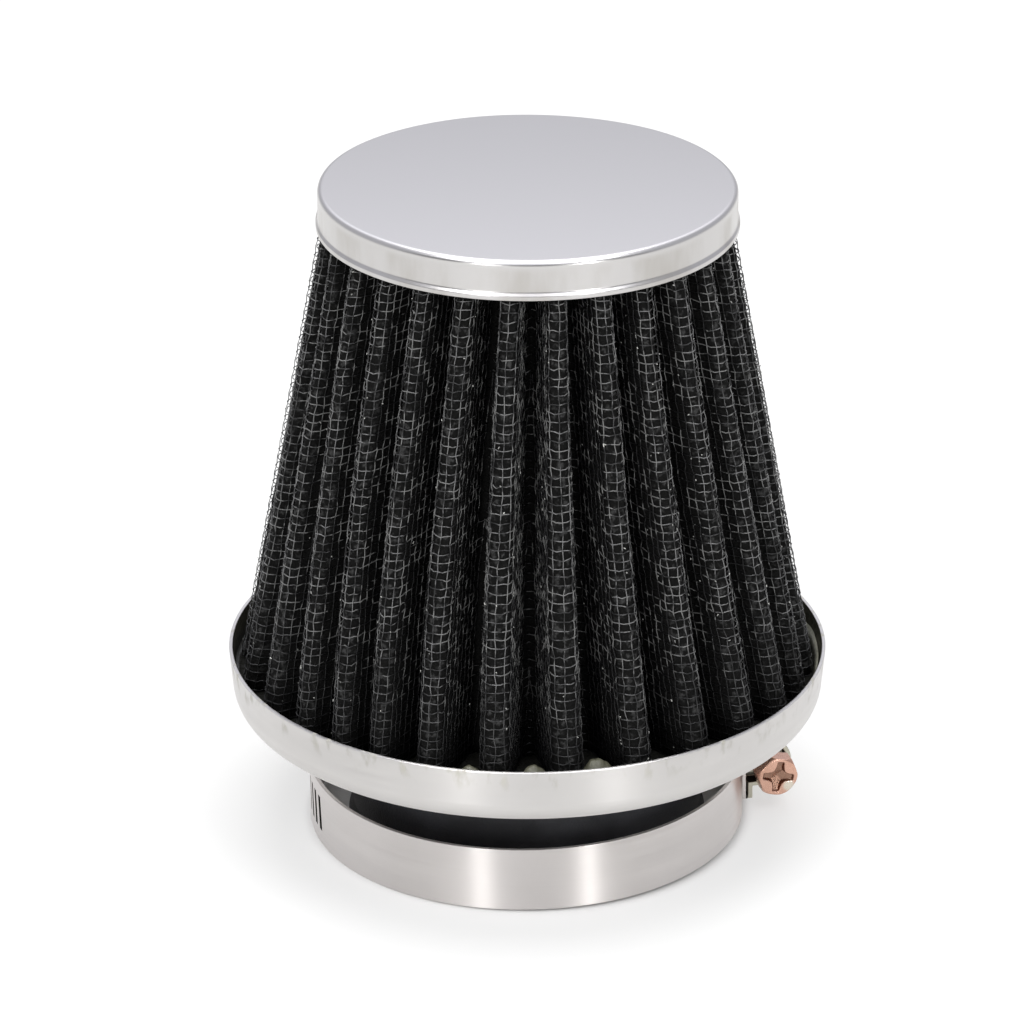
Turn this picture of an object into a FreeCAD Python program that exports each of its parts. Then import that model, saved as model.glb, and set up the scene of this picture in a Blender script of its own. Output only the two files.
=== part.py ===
"""Clamp-on conical air filter: pleated pack between a cap and a pan, rubber neck and worm clamp.

Millimetres, +Z up. The origin is the centre of the neck's mouth, where the filter stands.
"""
import FreeCAD, Part
import math
import os

import Sketcher

Vector = FreeCAD.Vector
Rotation = FreeCAD.Rotation
Placement = FreeCAD.Placement

# Driving sizes: name, value, meaning
DRIVING = (
    ("inlet_diameter", 50.0, "bore of the rubber neck"),
    ("neck_wall", 3.3, "rubber wall"),
    ("neck_length", 21.25, "mouth to the underside of the pan"),
    ("neck_flange_width", 6.0, "flange that lies on the pan's floor"),
    ("neck_flange_thickness", 2.4, "thickness of that flange"),
    ("mouth_bead", 0.7, "how far the mouth's bead stands out"),
    ("mouth_bead_straight", 1.0, "straight part of the bead"),
    ("mouth_bead_length", 3.6, "mouth to the end of the bead's taper"),
    ("mouth_bevel", 0.8, "lead-in at the mouth"),
    ("pan_rim_diameter", 96.0, "outside of the pan's rim"),
    ("pan_depth", 9.65, "underside of the pan to its rim"),
    ("pan_wall_angle", 5.0, "lean of the pan's wall, degrees"),
    ("pan_corner_radius", 4.0, "outside radius at the pan's floor"),
    ("pan_sheet", 0.6, "sheet of the pan"),
    ("overall_height", 108.8, "mouth to the top of the cap"),
    ("cap_diameter", 65.4, "outside of the cap's skirt"),
    ("cap_depth", 6.25, "top of the cap to its lower edge"),
    ("cap_corner_radius", 1.5, "outside radius round the cap's face"),
    ("cap_lip_flare", 0.28, "how far the skirt's edge flares"),
    ("cap_lip_length", 1.6, "height of the flare"),
    ("cap_sheet", 0.6, "sheet of the cap"),
    ("pleat_count", 28, "pleats round the pack"),
    ("pleat_azimuth", -94.8, "direction of the first ridge, degrees"),
    ("pack_base_diameter", 92.5, "over the ridges, on the base glue"),
    ("pack_top_diameter", 63.8, "over the ridges, under the cap glue"),
    ("pleat_depth", 13.1, "ridge to valley, at the base"),
    ("ridge_radius", 2.2, "outside of a ridge fold, at the base"),
    ("valley_radius", 0.9, "outside of a valley fold, at the base"),
    ("ridge_facets", 7, "flats that make up a ridge fold"),
    ("valley_facets", 4, "flats that make up a valley fold"),
    ("screen_thickness", 0.3, "wire screen"),
    ("media_thickness", 0.6, "filter sheet"),
    ("layer_gap", 0.02, "between the folded sheets"),
    ("base_glue_drop", 4.5, "pan rim down to the base glue"),
    ("base_glue_inset", 2.4, "base glue inside the pack's inner folds"),
    ("cap_glue_drop", 1.0, "skirt's edge up to the cap glue"),
    ("fit_gap", 0.05, "between round faces that are bonded"),
    ("band_diameter", 70.44, "outside of the clamp band"),
    ("band_width", 10.6, "width of the band"),
    ("band_thickness", 0.65, "sheet of the band"),
    ("tail_angle", 13.0, "tail past the housing's middle, degrees"),
    ("fixed_end_angle", 9.0, "fixed end past the housing's middle, degrees"),
    ("slot_length", 5.8, "slot across the band"),
    ("slot_width", 1.1, "slot along the band"),
    ("slot_pitch", 2.45, "slot to slot"),
    ("slot_tilt", 6.0, "lean of a slot, degrees"),
    ("slot_margin", 2.0, "tail's end to its first slot"),
    ("slot_run_past", 8.0, "slots past the half turn, degrees"),
    ("housing_azimuth", 15.5, "direction of the screw housing, degrees"),
    ("housing_length", 12.4, "housing along the screw"),
    ("housing_sheet", 0.8, "sheet of the housing and saddle"),
    ("housing_mouth", 2.2, "front of the arch back to the wall behind it"),
    ("channel_clearance", 0.15, "band's edge to the saddle's side"),
    ("thread_diameter", 6.2, "worm, over its thread"),
    ("thread_clearance", 0.3, "worm to the band's tail"),
    ("arch_clearance", 0.15, "worm to the housing's arch"),
    ("journal_clearance", 0.15, "screw necks in the housing's end walls"),
    ("screw_neck_diameter", 4.4, "neck behind the head"),
    ("screw_neck_reach", 2.4, "front of the arch out to the head"),
    ("screw_tip_diameter", 3.2, "pilot at the screw's tip"),
    ("screw_tip_length", 0.4, "pilot past the rear wall"),
    ("head_across", 6.35, "hexagon across flats"),
    ("head_height", 3.3, "height of the head"),
    ("head_bevel", 0.5, "bevel of the hexagon's corners"),
    ("recess_length", 5.2, "cross recess, end to end"),
    ("recess_width", 1.2, "cross recess, width of an arm"),
    ("recess_depth", 1.7, "depth of the cross recess"),
)

# Sizes worked out from the driving ones: name, formula
DERIVED = (
    ("neck_inner_radius", "inlet_diameter / 2"),
    ("neck_outer_radius", "neck_inner_radius + neck_wall"),
    ("neck_flange_radius", "neck_outer_radius + neck_flange_width"),
    ("mouth_inner_radius", "neck_inner_radius + mouth_bevel"),
    ("mouth_outer_radius", "neck_outer_radius + mouth_bead"),
    ("pan_floor", "neck_length + pan_sheet"),
    ("flange_top", "pan_floor + neck_flange_thickness"),
    ("pan_hole_radius", "neck_outer_radius + fit_gap"),
    ("pan_rim_radius", "pan_rim_diameter / 2"),
    ("pan_rim_height", "neck_length + pan_depth"),
    ("pan_inner_rim_radius", "pan_rim_radius - pan_sheet / cos(pan_wall_angle)"),
    ("pan_corner_height", "neck_length + pan_corner_radius"),
    ("pan_wall_drop", "(pan_rim_height - pan_corner_height) * sin(pan_wall_angle)"),
    ("pan_corner_centre", "pan_rim_radius - (pan_wall_drop + pan_corner_radius) / cos(pan_wall_angle)"),
    ("pan_outer_bend_radius", "pan_corner_centre + pan_corner_radius * cos(pan_wall_angle)"),
    ("pan_outer_bend_height", "pan_corner_height - pan_corner_radius * sin(pan_wall_angle)"),
    ("pan_inner_corner_radius", "pan_corner_radius - pan_sheet"),
    ("pan_inner_bend_radius", "pan_corner_centre + pan_inner_corner_radius * cos(pan_wall_angle)"),
    ("pan_inner_bend_height", "pan_corner_height - pan_inner_corner_radius * sin(pan_wall_angle)"),
    ("base_glue_top", "pan_rim_height - base_glue_drop"),
    ("base_glue_lean", "(base_glue_top - pan_rim_height) * tan(pan_wall_angle)"),
    ("base_glue_top_radius", "pan_inner_rim_radius + base_glue_lean - fit_gap"),
    ("base_glue_bend_radius", "pan_inner_bend_radius - fit_gap"),
    ("base_glue_flange_radius", "neck_flange_radius + fit_gap"),
    ("cap_radius", "cap_diameter / 2"),
    ("cap_inner_radius", "cap_radius - cap_sheet"),
    ("cap_edge", "overall_height - cap_depth"),
    ("cap_lip_top", "cap_edge + cap_lip_length"),
    ("cap_lip_radius", "cap_radius + cap_lip_flare"),
    ("cap_lip_inner_radius", "cap_lip_radius - cap_sheet"),
    ("cap_ceiling", "overall_height - cap_sheet"),
    ("cap_corner_height", "overall_height - cap_corner_radius"),
    ("cap_face_radius", "cap_radius - cap_corner_radius"),
    ("cap_inner_corner_radius", "cap_corner_radius - cap_sheet"),
    ("cap_glue_radius", "cap_inner_radius - fit_gap"),
    ("cap_glue_bottom", "cap_edge + cap_glue_drop"),
    ("taper", "pack_top_diameter / pack_base_diameter"),
    ("half_pitch", "180 / pleat_count"),
    ("ridge_ring", "pack_base_diameter / 2 - ridge_radius"),
    ("valley_ring", "pack_base_diameter / 2 - pleat_depth + valley_radius"),
    ("media_outside", "screen_thickness + layer_gap"),
    ("media_inside", "media_outside + media_thickness"),
    ("inner_screen_outside", "media_inside + layer_gap"),
    ("pack_thickness", "inner_screen_outside + screen_thickness"),
    ("base_glue_inner_radius", "valley_ring - valley_radius - pack_thickness - base_glue_inset"),
    ("band_outer_radius", "band_diameter / 2"),
    ("band_inner_radius", "band_outer_radius - band_thickness"),
    ("tail_shift", "(band_thickness + fit_gap) / 2"),
    ("tail_outer_radius", "band_outer_radius + tail_shift"),
    ("tail_inner_radius", "band_inner_radius + tail_shift"),
    ("tail_outer_x", "tail_outer_radius * cos(tail_angle)"),
    ("tail_outer_y", "tail_outer_radius * sin(tail_angle)"),
    ("tail_inner_x", "tail_inner_radius * cos(tail_angle)"),
    ("tail_inner_y", "tail_inner_radius * sin(tail_angle)"),
    ("fixed_outer_x", "band_outer_radius * cos(fixed_end_angle) - tail_shift"),
    ("fixed_outer_y", "band_outer_radius * sin(fixed_end_angle)"),
    ("fixed_inner_x", "band_inner_radius * cos(fixed_end_angle) - tail_shift"),
    ("fixed_inner_y", "band_inner_radius * sin(fixed_end_angle)"),
    ("slot_step", "slot_pitch / tail_outer_radius * 180 / pi"),
    ("first_slot_angle", "slot_margin / tail_outer_radius * 180 / pi - tail_angle"),
    ("slot_count", "floor((180 + slot_run_past - first_slot_angle) / slot_step) + 1"),
    ("slot_span", "(slot_count - 1) * slot_step"),
    ("slot_turn", "first_slot_angle - 90"),
    ("slot_plane_radius", "tail_inner_radius - band_thickness"),
    ("slot_plane_x", "slot_plane_radius * cos(first_slot_angle)"),
    ("slot_plane_z", "-slot_plane_radius * sin(first_slot_angle)"),
    ("slot_cut", "3 * band_thickness"),
    ("band_middle", "band_width / 2"),
    ("flange_underside", "band_outer_radius + band_thickness + 2 * fit_gap"),
    ("flange_face", "flange_underside + housing_sheet"),
    ("thread_radius", "thread_diameter / 2"),
    ("screw_axis", "band_outer_radius + band_thickness + fit_gap + thread_clearance + thread_radius"),
    ("arch_inner_radius", "thread_radius + arch_clearance"),
    ("arch_outer_radius", "arch_inner_radius + housing_sheet"),
    ("arch_inner_low", "band_middle - arch_inner_radius"),
    ("arch_inner_high", "band_middle + arch_inner_radius"),
    ("arch_outer_low", "band_middle - arch_outer_radius"),
    ("arch_outer_high", "band_middle + arch_outer_radius"),
    ("channel_width", "band_width + 2 * channel_clearance"),
    ("saddle_width", "channel_width + 2 * housing_sheet"),
    ("flange_overhang", "channel_clearance + housing_sheet"),
    ("flange_high", "band_width + flange_overhang"),
    ("housing_half_length", "housing_length / 2"),
    ("saddle_channel_radius", "band_inner_radius - fit_gap"),
    ("saddle_radius", "saddle_channel_radius - housing_sheet"),
    ("saddle_corner", "sqrt(saddle_radius ^ 2 - housing_half_length ^ 2)"),
    ("channel_corner", "sqrt(saddle_channel_radius ^ 2 - housing_half_length ^ 2)"),
    ("clamp_tilt", "asin(flange_overhang / (band_outer_radius + saddle_corner)) / 1 deg"),
    ("neck_hole_radius", "screw_neck_diameter / 2 + journal_clearance"),
    ("tip_hole_radius", "screw_tip_diameter / 2 + journal_clearance"),
    ("screw_neck_radius", "screw_neck_diameter / 2"),
    ("screw_tip_radius", "screw_tip_diameter / 2"),
    ("front_wall_place", "housing_half_length - housing_mouth"),
    ("worm_front", "housing_mouth + housing_sheet + journal_clearance"),
    ("worm_rear", "housing_length - housing_sheet - journal_clearance"),
    ("screw_tip", "housing_length + screw_tip_length"),
    ("head_top", "screw_neck_reach + head_height"),
    ("head_flat", "head_across / 2"),
    ("head_corner", "head_across / sqrt(3)"),
    ("head_side", "head_corner / 2"),
    ("head_bevel_radius", "head_corner - head_bevel"),
    ("head_bevel_height", "head_top - head_bevel"),
    ("recess_half_length", "recess_length / 2"),
    ("recess_half_width", "recess_width / 2"),
)

doc = FreeCAD.newDocument("AirFilter")
sheet = doc.addObject("Spreadsheet::Sheet", "Sizes")


def fill_sheet():
    """Write the driving sizes as plain numbers and the others as formulas, each with its name."""
    rows = [(name, str(number)) for name, number, _ in DRIVING]
    rows += [(name, "=" + formula) for name, formula in DERIVED]
    for row, (name, content) in enumerate(rows, start=1):
        sheet.set(f"A{row}", name)
        sheet.set(f"B{row}", content)
        sheet.setAlias(f"B{row}", name)
    doc.recompute()


def size(name):
    """Return a size by its name; a leading minus sign turns it round."""
    if name.startswith("-"):
        return -size(name[1:])
    return float(sheet.get(name))


def bind(thing, field, name):
    """Tie one field of an object to a named size."""
    sign = "-" if name.startswith("-") else ""
    thing.setExpression(field, f"{sign}{sheet.Name}.{name.lstrip('-')}")


def new_body(label):
    """Start a sub-part under its own name."""
    body = doc.addObject("PartDesign::Body", label)
    body.Label = label
    return body


def origin_feature(body, role):
    """Find one of the body's own base planes or axes."""
    return next(item for item in body.Origin.OriginFeatures if item.Role == role)


def new_sketch(body, name, role, height=None):
    """Put a sketch on a base plane of its body, raised along the plane's normal by a named size."""
    sketch = body.newObject("Sketcher::SketchObject", name)
    sketch.AttachmentSupport = [(origin_feature(body, role), "")]
    sketch.MapMode = "FlatFace"
    if height:
        bind(sketch, "AttachmentOffset.Base.z", height)
    return sketch


def constrain(sketch, kind, *items):
    """Add one constraint; a size name at its end gives the value and stays tied to it."""
    if not isinstance(items[-1], str):
        sketch.addConstraint(Sketcher.Constraint(kind, *items))
        return
    index = sketch.addConstraint(Sketcher.Constraint(kind, *items[:-1], size(items[-1])))
    bind(sketch, f"Constraints[{index}]", items[-1])


def pin_point(sketch, curve, end, across, along):
    """Fix a curve's end at two named distances from the sketch's origin; zero lies on the axis."""
    for kind, axis, name in (("DistanceX", -2, across), ("DistanceY", -1, along)):
        if name == "0":
            constrain(sketch, "PointOnObject", curve, end, axis)
        elif name.startswith("-"):
            constrain(sketch, kind, curve, end, -1, 1, name[1:])
        else:
            constrain(sketch, kind, -1, 1, curve, end, name)


def coordinate(name):
    """Return a coordinate given as a size's name, or zero."""
    return 0.0 if name == "0" else size(name)


def arc_between(start, end, centre, turn):
    """Make an arc from start to end about a centre; turn is +1 anticlockwise or -1 clockwise."""
    first, last = (start, end) if turn > 0 else (end, start)
    angles = [math.atan2(point.y - centre.y, point.x - centre.x) for point in (first, last)]
    circle = Part.Circle(centre, Vector(0, 0, 1), (start - centre).Length)
    return Part.ArcOfCircle(circle, angles[0], angles[1])


def draw_outline(sketch, corners, arcs=None):
    """Draw a closed outline through named corners.

    corners are pairs of size names. arcs maps a corner's number to the arc that leaves it:
    the names of its centre's two coordinates, of its radius (none for a half circle, which its
    centre fixes), and its turn.
    """
    arcs = arcs or {}
    points = [Vector(coordinate(x), coordinate(y), 0) for x, y in corners]
    count = len(points)
    ends = []
    for number, start in enumerate(points):
        end = points[(number + 1) % count]
        turn = 1
        if number in arcs:
            x, y, _, turn = arcs[number]
            shape = arc_between(start, end, Vector(coordinate(x), coordinate(y), 0), turn)
        else:
            shape = Part.LineSegment(start, end)
        curve = sketch.addGeometry(shape, False)
        ends.append((curve, 1, 2) if turn > 0 else (curve, 2, 1))
    for number, (curve, _, last) in enumerate(ends):
        following, first, _ = ends[(number + 1) % count]
        constrain(sketch, "Coincident", curve, last, following, first)
    for (curve, first, _), (x, y) in zip(ends, corners):
        pin_point(sketch, curve, first, x, y)
    for number, (x, _, radius, _) in arcs.items():
        if radius:
            constrain(sketch, "Radius", ends[number][0], radius)
        else:
            constrain(sketch, "DistanceX", -1, 1, ends[number][0], 3, x)


def draw_circle(sketch, across, along, radius):
    """Draw a full circle at two named distances from the sketch's origin."""
    centre = Vector(coordinate(across), coordinate(along), 0)
    curve = sketch.addGeometry(Part.Circle(centre, Vector(0, 0, 1), size(radius)), False)
    pin_point(sketch, curve, 3, across, along)
    constrain(sketch, "Radius", curve, radius)


def revolved(label, corners, arcs=None):
    """Turn a half section (radius, height) round the Z axis."""
    body = new_body(label)
    sketch = new_sketch(body, label + "_section", "XZ_Plane")
    draw_outline(sketch, corners, arcs)
    turned = body.newObject("PartDesign::Revolution", label + "_turned")
    turned.Profile = sketch
    turned.ReferenceAxis = (sketch, ["V_Axis"])
    turned.Angle = 360
    return body


def padded(body, sketch, name, length, both_ways=False, reverse=False):
    """Raise a sketch by a named length."""
    pad = body.newObject("PartDesign::Pad", name)
    pad.Profile = sketch
    pad.SideType = "Symmetric" if both_ways else "One side"
    pad.Reversed = reverse
    bind(pad, "Length", length)
    return pad


def patterned(body, feature, name, count, angle=None):
    """Repeat a feature round the body's Z axis, over a named angle or the full turn."""
    pattern = body.newObject("PartDesign::PolarPattern", name)
    pattern.Originals = [feature]
    pattern.Axis = (origin_feature(body, "Z_Axis"), [""])
    pattern.Angle = 360
    if angle:
        bind(pattern, "Angle", angle)
    bind(pattern, "Occurrences", count)
    body.Tip = pattern
    return pattern


def make_top_cap():
    """Pressed cup: flat face, rounded edge and a skirt whose lower edge flares a little."""
    corners = [
        ("0", "overall_height"),
        ("cap_face_radius", "overall_height"),
        ("cap_radius", "cap_corner_height"),
        ("cap_radius", "cap_lip_top"),
        ("cap_lip_radius", "cap_edge"),
        ("cap_lip_inner_radius", "cap_edge"),
        ("cap_inner_radius", "cap_lip_top"),
        ("cap_inner_radius", "cap_corner_height"),
        ("cap_face_radius", "cap_ceiling"),
        ("0", "cap_ceiling"),
    ]
    arcs = {
        1: ("cap_face_radius", "cap_corner_height", "cap_corner_radius", -1),
        7: ("cap_face_radius", "cap_corner_height", "cap_inner_corner_radius", 1),
    }
    return revolved("top_cap", corners, arcs)


def make_top_potting():
    """Disc of glue that fills the cap above the pleats."""
    corners = [
        ("0", "cap_ceiling"),
        ("cap_face_radius", "cap_ceiling"),
        ("cap_glue_radius", "cap_corner_height"),
        ("cap_glue_radius", "cap_glue_bottom"),
        ("0", "cap_glue_bottom"),
    ]
    return revolved("top_potting", corners)


def make_base_pan():
    """Pressed dish with a leaning wall, a rounded floor edge and a hole for the neck."""
    corners = [
        ("pan_hole_radius", "neck_length"),
        ("pan_corner_centre", "neck_length"),
        ("pan_outer_bend_radius", "pan_outer_bend_height"),
        ("pan_rim_radius", "pan_rim_height"),
        ("pan_inner_rim_radius", "pan_rim_height"),
        ("pan_inner_bend_radius", "pan_inner_bend_height"),
        ("pan_corner_centre", "pan_floor"),
        ("pan_hole_radius", "pan_floor"),
    ]
    arcs = {
        1: ("pan_corner_centre", "pan_corner_height", "pan_corner_radius", 1),
        5: ("pan_corner_centre", "pan_corner_height", "pan_inner_corner_radius", -1),
    }
    return revolved("base_pan", corners, arcs)


def make_base_potting():
    """Ring of glue in the pan, over the neck's flange and under the pleats."""
    corners = [
        ("base_glue_flange_radius", "pan_floor"),
        ("pan_corner_centre", "pan_floor"),
        ("base_glue_bend_radius", "pan_inner_bend_height"),
        ("base_glue_top_radius", "base_glue_top"),
        ("base_glue_inner_radius", "base_glue_top"),
        ("base_glue_inner_radius", "flange_top"),
        ("base_glue_flange_radius", "flange_top"),
    ]
    return revolved("base_potting", corners)


def make_rubber_neck():
    """Moulded sleeve with a beaded mouth below and a flange that lies in the pan."""
    corners = [
        ("mouth_inner_radius", "0"),
        ("mouth_outer_radius", "0"),
        ("mouth_outer_radius", "mouth_bead_straight"),
        ("neck_outer_radius", "mouth_bead_length"),
        ("neck_outer_radius", "pan_floor"),
        ("neck_flange_radius", "pan_floor"),
        ("neck_flange_radius", "flange_top"),
        ("neck_inner_radius", "flange_top"),
        ("neck_inner_radius", "mouth_bevel"),
    ]
    return revolved("rubber_neck", corners)


def fold_corners(centre, reach, start, end, facets):
    """Return the corners of a fold whose flats all lie at one distance from its centre.

    start and end are the ways (radians) that the sheet faces before and after the fold. reach is
    the distance, negative in a valley, where the sheet lies behind the centre.
    """
    step = (end - start) / (facets + 1)
    radius = reach / math.cos(step / 2)
    angles = [start + step * (number + 0.5) for number in range(facets + 1)]
    return [centre + Vector(math.cos(angle), math.sin(angle), 0) * radius for angle in angles]


def side_direction(ridge, valley):
    """Return the way (radians) that a pleat's side faces, between its ridge's and its valley's fold."""
    span = valley - ridge
    lean = math.asin((size("ridge_radius") + size("valley_radius")) / span.Length)
    return math.atan2(span.y, span.x) - math.pi / 2 + lean


def sheet_ring(level, depth):
    """Return the corners of one face of a pleated sheet, all round the pack.

    level is base or top; depth names the face's distance under the pack's own face. The folds'
    centres shrink with the pack and each sheet keeps its thickness, so flats stay parallel.
    """
    half_pitch = math.radians(size("half_pitch"))
    ridge = Vector(size("ridge_ring"), 0, 0)
    valley = Vector(math.cos(half_pitch), math.sin(half_pitch), 0) * size("valley_ring")
    facing = side_direction(ridge, valley)
    scale = size("taper") if level == "top" else 1.0
    height = size("cap_glue_bottom") if level == "top" else size("base_glue_top")
    ridge_reach = size("ridge_radius") * scale - coordinate(depth)
    valley_reach = size("valley_radius") * scale + coordinate(depth)
    pleat = fold_corners(ridge * scale, ridge_reach, -facing, facing, int(size("ridge_facets")))
    beyond = 2 * half_pitch - facing
    pleat += fold_corners(valley * scale, -valley_reach, facing, beyond, int(size("valley_facets")))
    ring = []
    for number in range(int(size("pleat_count"))):
        turn = Rotation(Vector(0, 0, 1), 2 * number * size("half_pitch"))
        ring += [turn.multVec(corner) + Vector(0, 0, height) for corner in pleat]
    return ring


def ring_wall(low, high):
    """Return the flats between a ring of corners and the one above it."""
    flats = []
    for number in range(len(low)):
        corners = [low[number - 1], low[number], high[number], high[number - 1], low[number - 1]]
        flats.append(Part.Face(Part.makePolygon(corners)))
    return flats


def ring_end(outer, inner):
    """Return the flat end of a sheet, between its two faces."""
    edges = [Part.makePolygon(ring + ring[:1]) for ring in (outer, inner)]
    return Part.makeFace(edges, "Part::FaceMakerBullseye")


def make_pleated_sheet(label, outside, inside):
    """Folded conical sheet between two named depths, as a closed shell of flats."""
    outer = [sheet_ring(level, outside) for level in ("base", "top")]
    inner = [sheet_ring(level, inside) for level in ("base", "top")]
    faces = ring_wall(*outer) + ring_wall(*inner)
    faces += [ring_end(*rings) for rings in zip(outer, inner)]
    solid = Part.makeSolid(Part.makeShell(faces))
    if solid.Volume < 0:
        solid.reverse()
    sheet_feature = doc.addObject("Part::Feature", label)
    sheet_feature.Label = label
    sheet_feature.Shape = solid
    sheet_feature.Placement = Placement(Vector(), Rotation(Vector(0, 0, 1), size("pleat_azimuth")))
    return sheet_feature


def clamp_place(offset):
    """Place a clamp piece from the clamp's own frame: X to the housing, Z up from the band's edge.

    The slack clamp stands on the band's edge and on the housing's side, so it tilts a little.
    """
    pivot = Vector(size("band_outer_radius"), 0, 0)
    tilt = Rotation(Vector(0, 1, 0), -size("clamp_tilt"))
    turn = Rotation(Vector(0, 0, 1), size("housing_azimuth"))
    clamp = Placement(turn.multVec(tilt.multVec(pivot) - pivot), turn.multiply(tilt))
    return clamp.multiply(offset)


def make_clamp_band():
    """Steel strip: a plain round half, and a slotted half that laps over the fixed end.

    The body's own origin is the slotted half's centre. The plain half's centre lies beside it by
    half the lap, so that the two halves meet smoothly opposite the housing.
    """
    body = new_body("clamp_band")
    strip = new_sketch(body, "band_strip", "XY_Plane")
    corners = [
        ("tail_outer_x", "-tail_outer_y"),
        ("-tail_outer_radius", "0"),
        ("fixed_outer_x", "fixed_outer_y"),
        ("fixed_inner_x", "fixed_inner_y"),
        ("-tail_inner_radius", "0"),
        ("tail_inner_x", "-tail_inner_y"),
    ]
    arcs = {
        0: ("0", "0", "tail_outer_radius", 1),
        1: ("-tail_shift", "0", "band_outer_radius", 1),
        3: ("-tail_shift", "0", "band_inner_radius", -1),
        4: ("0", "0", "tail_inner_radius", -1),
    }
    draw_outline(strip, corners, arcs)
    padded(body, strip, "band_rolled", "band_width")
    slot = make_band_slot(body)
    patterned(body, slot, "band_slots", "slot_count", "slot_span")
    body.Placement = clamp_place(Placement(Vector(size("tail_shift"), 0, 0), Rotation()))
    return body


def make_band_slot(body):
    """Cut the slanted slot nearest the tail's end."""
    sketch = new_sketch(body, "band_slot_outline", "XZ_Plane")
    sketch.AttachmentOffset = Placement(Vector(), Rotation(Vector(0, 1, 0), size("slot_turn")))
    bind(sketch, "AttachmentOffset.Rotation.Angle", "slot_turn")
    bind(sketch, "AttachmentOffset.Base.x", "slot_plane_x")
    bind(sketch, "AttachmentOffset.Base.z", "slot_plane_z")
    half_length = size("slot_length") / 2
    half_width = size("slot_width") / 2
    centre = Vector(0, size("band_middle"), 0)
    lean = Rotation(Vector(0, 0, 1), size("slot_tilt"))
    signs = ((-1, -1), (1, -1), (1, 1), (-1, 1))
    corners = [centre + lean.multVec(Vector(x * half_width, y * half_length, 0)) for x, y in signs]
    sides = []
    for number, corner in enumerate(corners):
        sides.append(sketch.addGeometry(Part.LineSegment(corner, corners[(number + 1) % 4]), False))
    for number, side in enumerate(sides):
        constrain(sketch, "Coincident", side, 2, sides[(number + 1) % 4], 1)
    constrain(sketch, "Parallel", sides[0], sides[2])
    constrain(sketch, "Parallel", sides[1], sides[3])
    constrain(sketch, "Perpendicular", sides[0], sides[1])
    constrain(sketch, "Distance", sides[0], "slot_width")
    constrain(sketch, "Distance", sides[1], "slot_length")
    middle = sketch.addGeometry(Part.Point(centre), True)
    constrain(sketch, "Symmetric", sides[0], 1, sides[1], 2, middle, 1)
    pin_point(sketch, middle, 1, "0", "band_middle")
    tilt = sketch.addConstraint(Sketcher.Constraint("Angle", sides[0], math.radians(size("slot_tilt"))))
    sketch.setExpression(f"Constraints[{tilt}]", f"{sheet.Name}.slot_tilt * 1 deg")
    pocket = body.newObject("PartDesign::Pocket", "band_slot")
    pocket.Profile = sketch
    bind(pocket, "Length", "slot_cut")
    return pocket


def make_clamp_saddle():
    """Channel under the band: a curved floor and two sides that carry the housing."""
    body = new_body("clamp_saddle")
    block = new_sketch(body, "saddle_block_outline", "XY_Plane", "band_middle")
    corners = [
        ("flange_underside", "-housing_half_length"),
        ("flange_underside", "housing_half_length"),
        ("saddle_corner", "housing_half_length"),
        ("saddle_corner", "-housing_half_length"),
    ]
    draw_outline(block, corners, {2: ("0", "0", "saddle_radius", -1)})
    padded(body, block, "saddle_block", "saddle_width", both_ways=True)
    channel = new_sketch(body, "saddle_channel_outline", "XY_Plane", "band_middle")
    corners = [
        ("flange_underside", "-housing_half_length"),
        ("flange_underside", "housing_half_length"),
        ("channel_corner", "housing_half_length"),
        ("channel_corner", "-housing_half_length"),
    ]
    draw_outline(channel, corners, {2: ("0", "0", "saddle_channel_radius", -1)})
    pocket = body.newObject("PartDesign::Pocket", "saddle_channel")
    pocket.Profile = channel
    pocket.SideType = "Symmetric"
    bind(pocket, "Length", "channel_width")
    body.Placement = clamp_place(Placement())
    return body


def make_clamp_housing():
    """Pressed shell: an arch over the worm, flanges on the saddle's sides and two walls round the screw."""
    body = new_body("clamp_housing")
    hat = new_sketch(body, "housing_section", "XZ_Plane")
    corners = [
        ("flange_underside", "-flange_overhang"),
        ("flange_face", "-flange_overhang"),
        ("flange_face", "arch_outer_low"),
        ("screw_axis", "arch_outer_low"),
        ("screw_axis", "arch_outer_high"),
        ("flange_face", "arch_outer_high"),
        ("flange_face", "flange_high"),
        ("flange_underside", "flange_high"),
        ("flange_underside", "arch_inner_high"),
        ("screw_axis", "arch_inner_high"),
        ("screw_axis", "arch_inner_low"),
        ("flange_underside", "arch_inner_low"),
    ]
    arcs = {
        3: ("screw_axis", "band_middle", None, 1),
        9: ("screw_axis", "band_middle", None, -1),
    }
    draw_outline(hat, corners, arcs)
    padded(body, hat, "housing_arch", "housing_length", both_ways=True)
    add_housing_wall(body, "front", "front_wall_place", "neck_hole_radius", reverse=True)
    add_housing_wall(body, "rear", "-housing_half_length", "tip_hole_radius", reverse=False)
    body.Placement = clamp_place(Placement())
    return body


def add_housing_wall(body, end, place, hole_radius, reverse):
    """Close the arch round the screw, at a named place along it."""
    sketch = new_sketch(body, f"housing_{end}_outline", "XZ_Plane", place)
    corners = [
        ("flange_underside", "arch_outer_low"),
        ("screw_axis", "arch_outer_low"),
        ("screw_axis", "arch_outer_high"),
        ("flange_underside", "arch_outer_high"),
    ]
    draw_outline(sketch, corners, {1: ("screw_axis", "band_middle", None, 1)})
    draw_circle(sketch, "screw_axis", "band_middle", hole_radius)
    padded(body, sketch, f"housing_{end}_wall", "housing_sheet", reverse=reverse)


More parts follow.
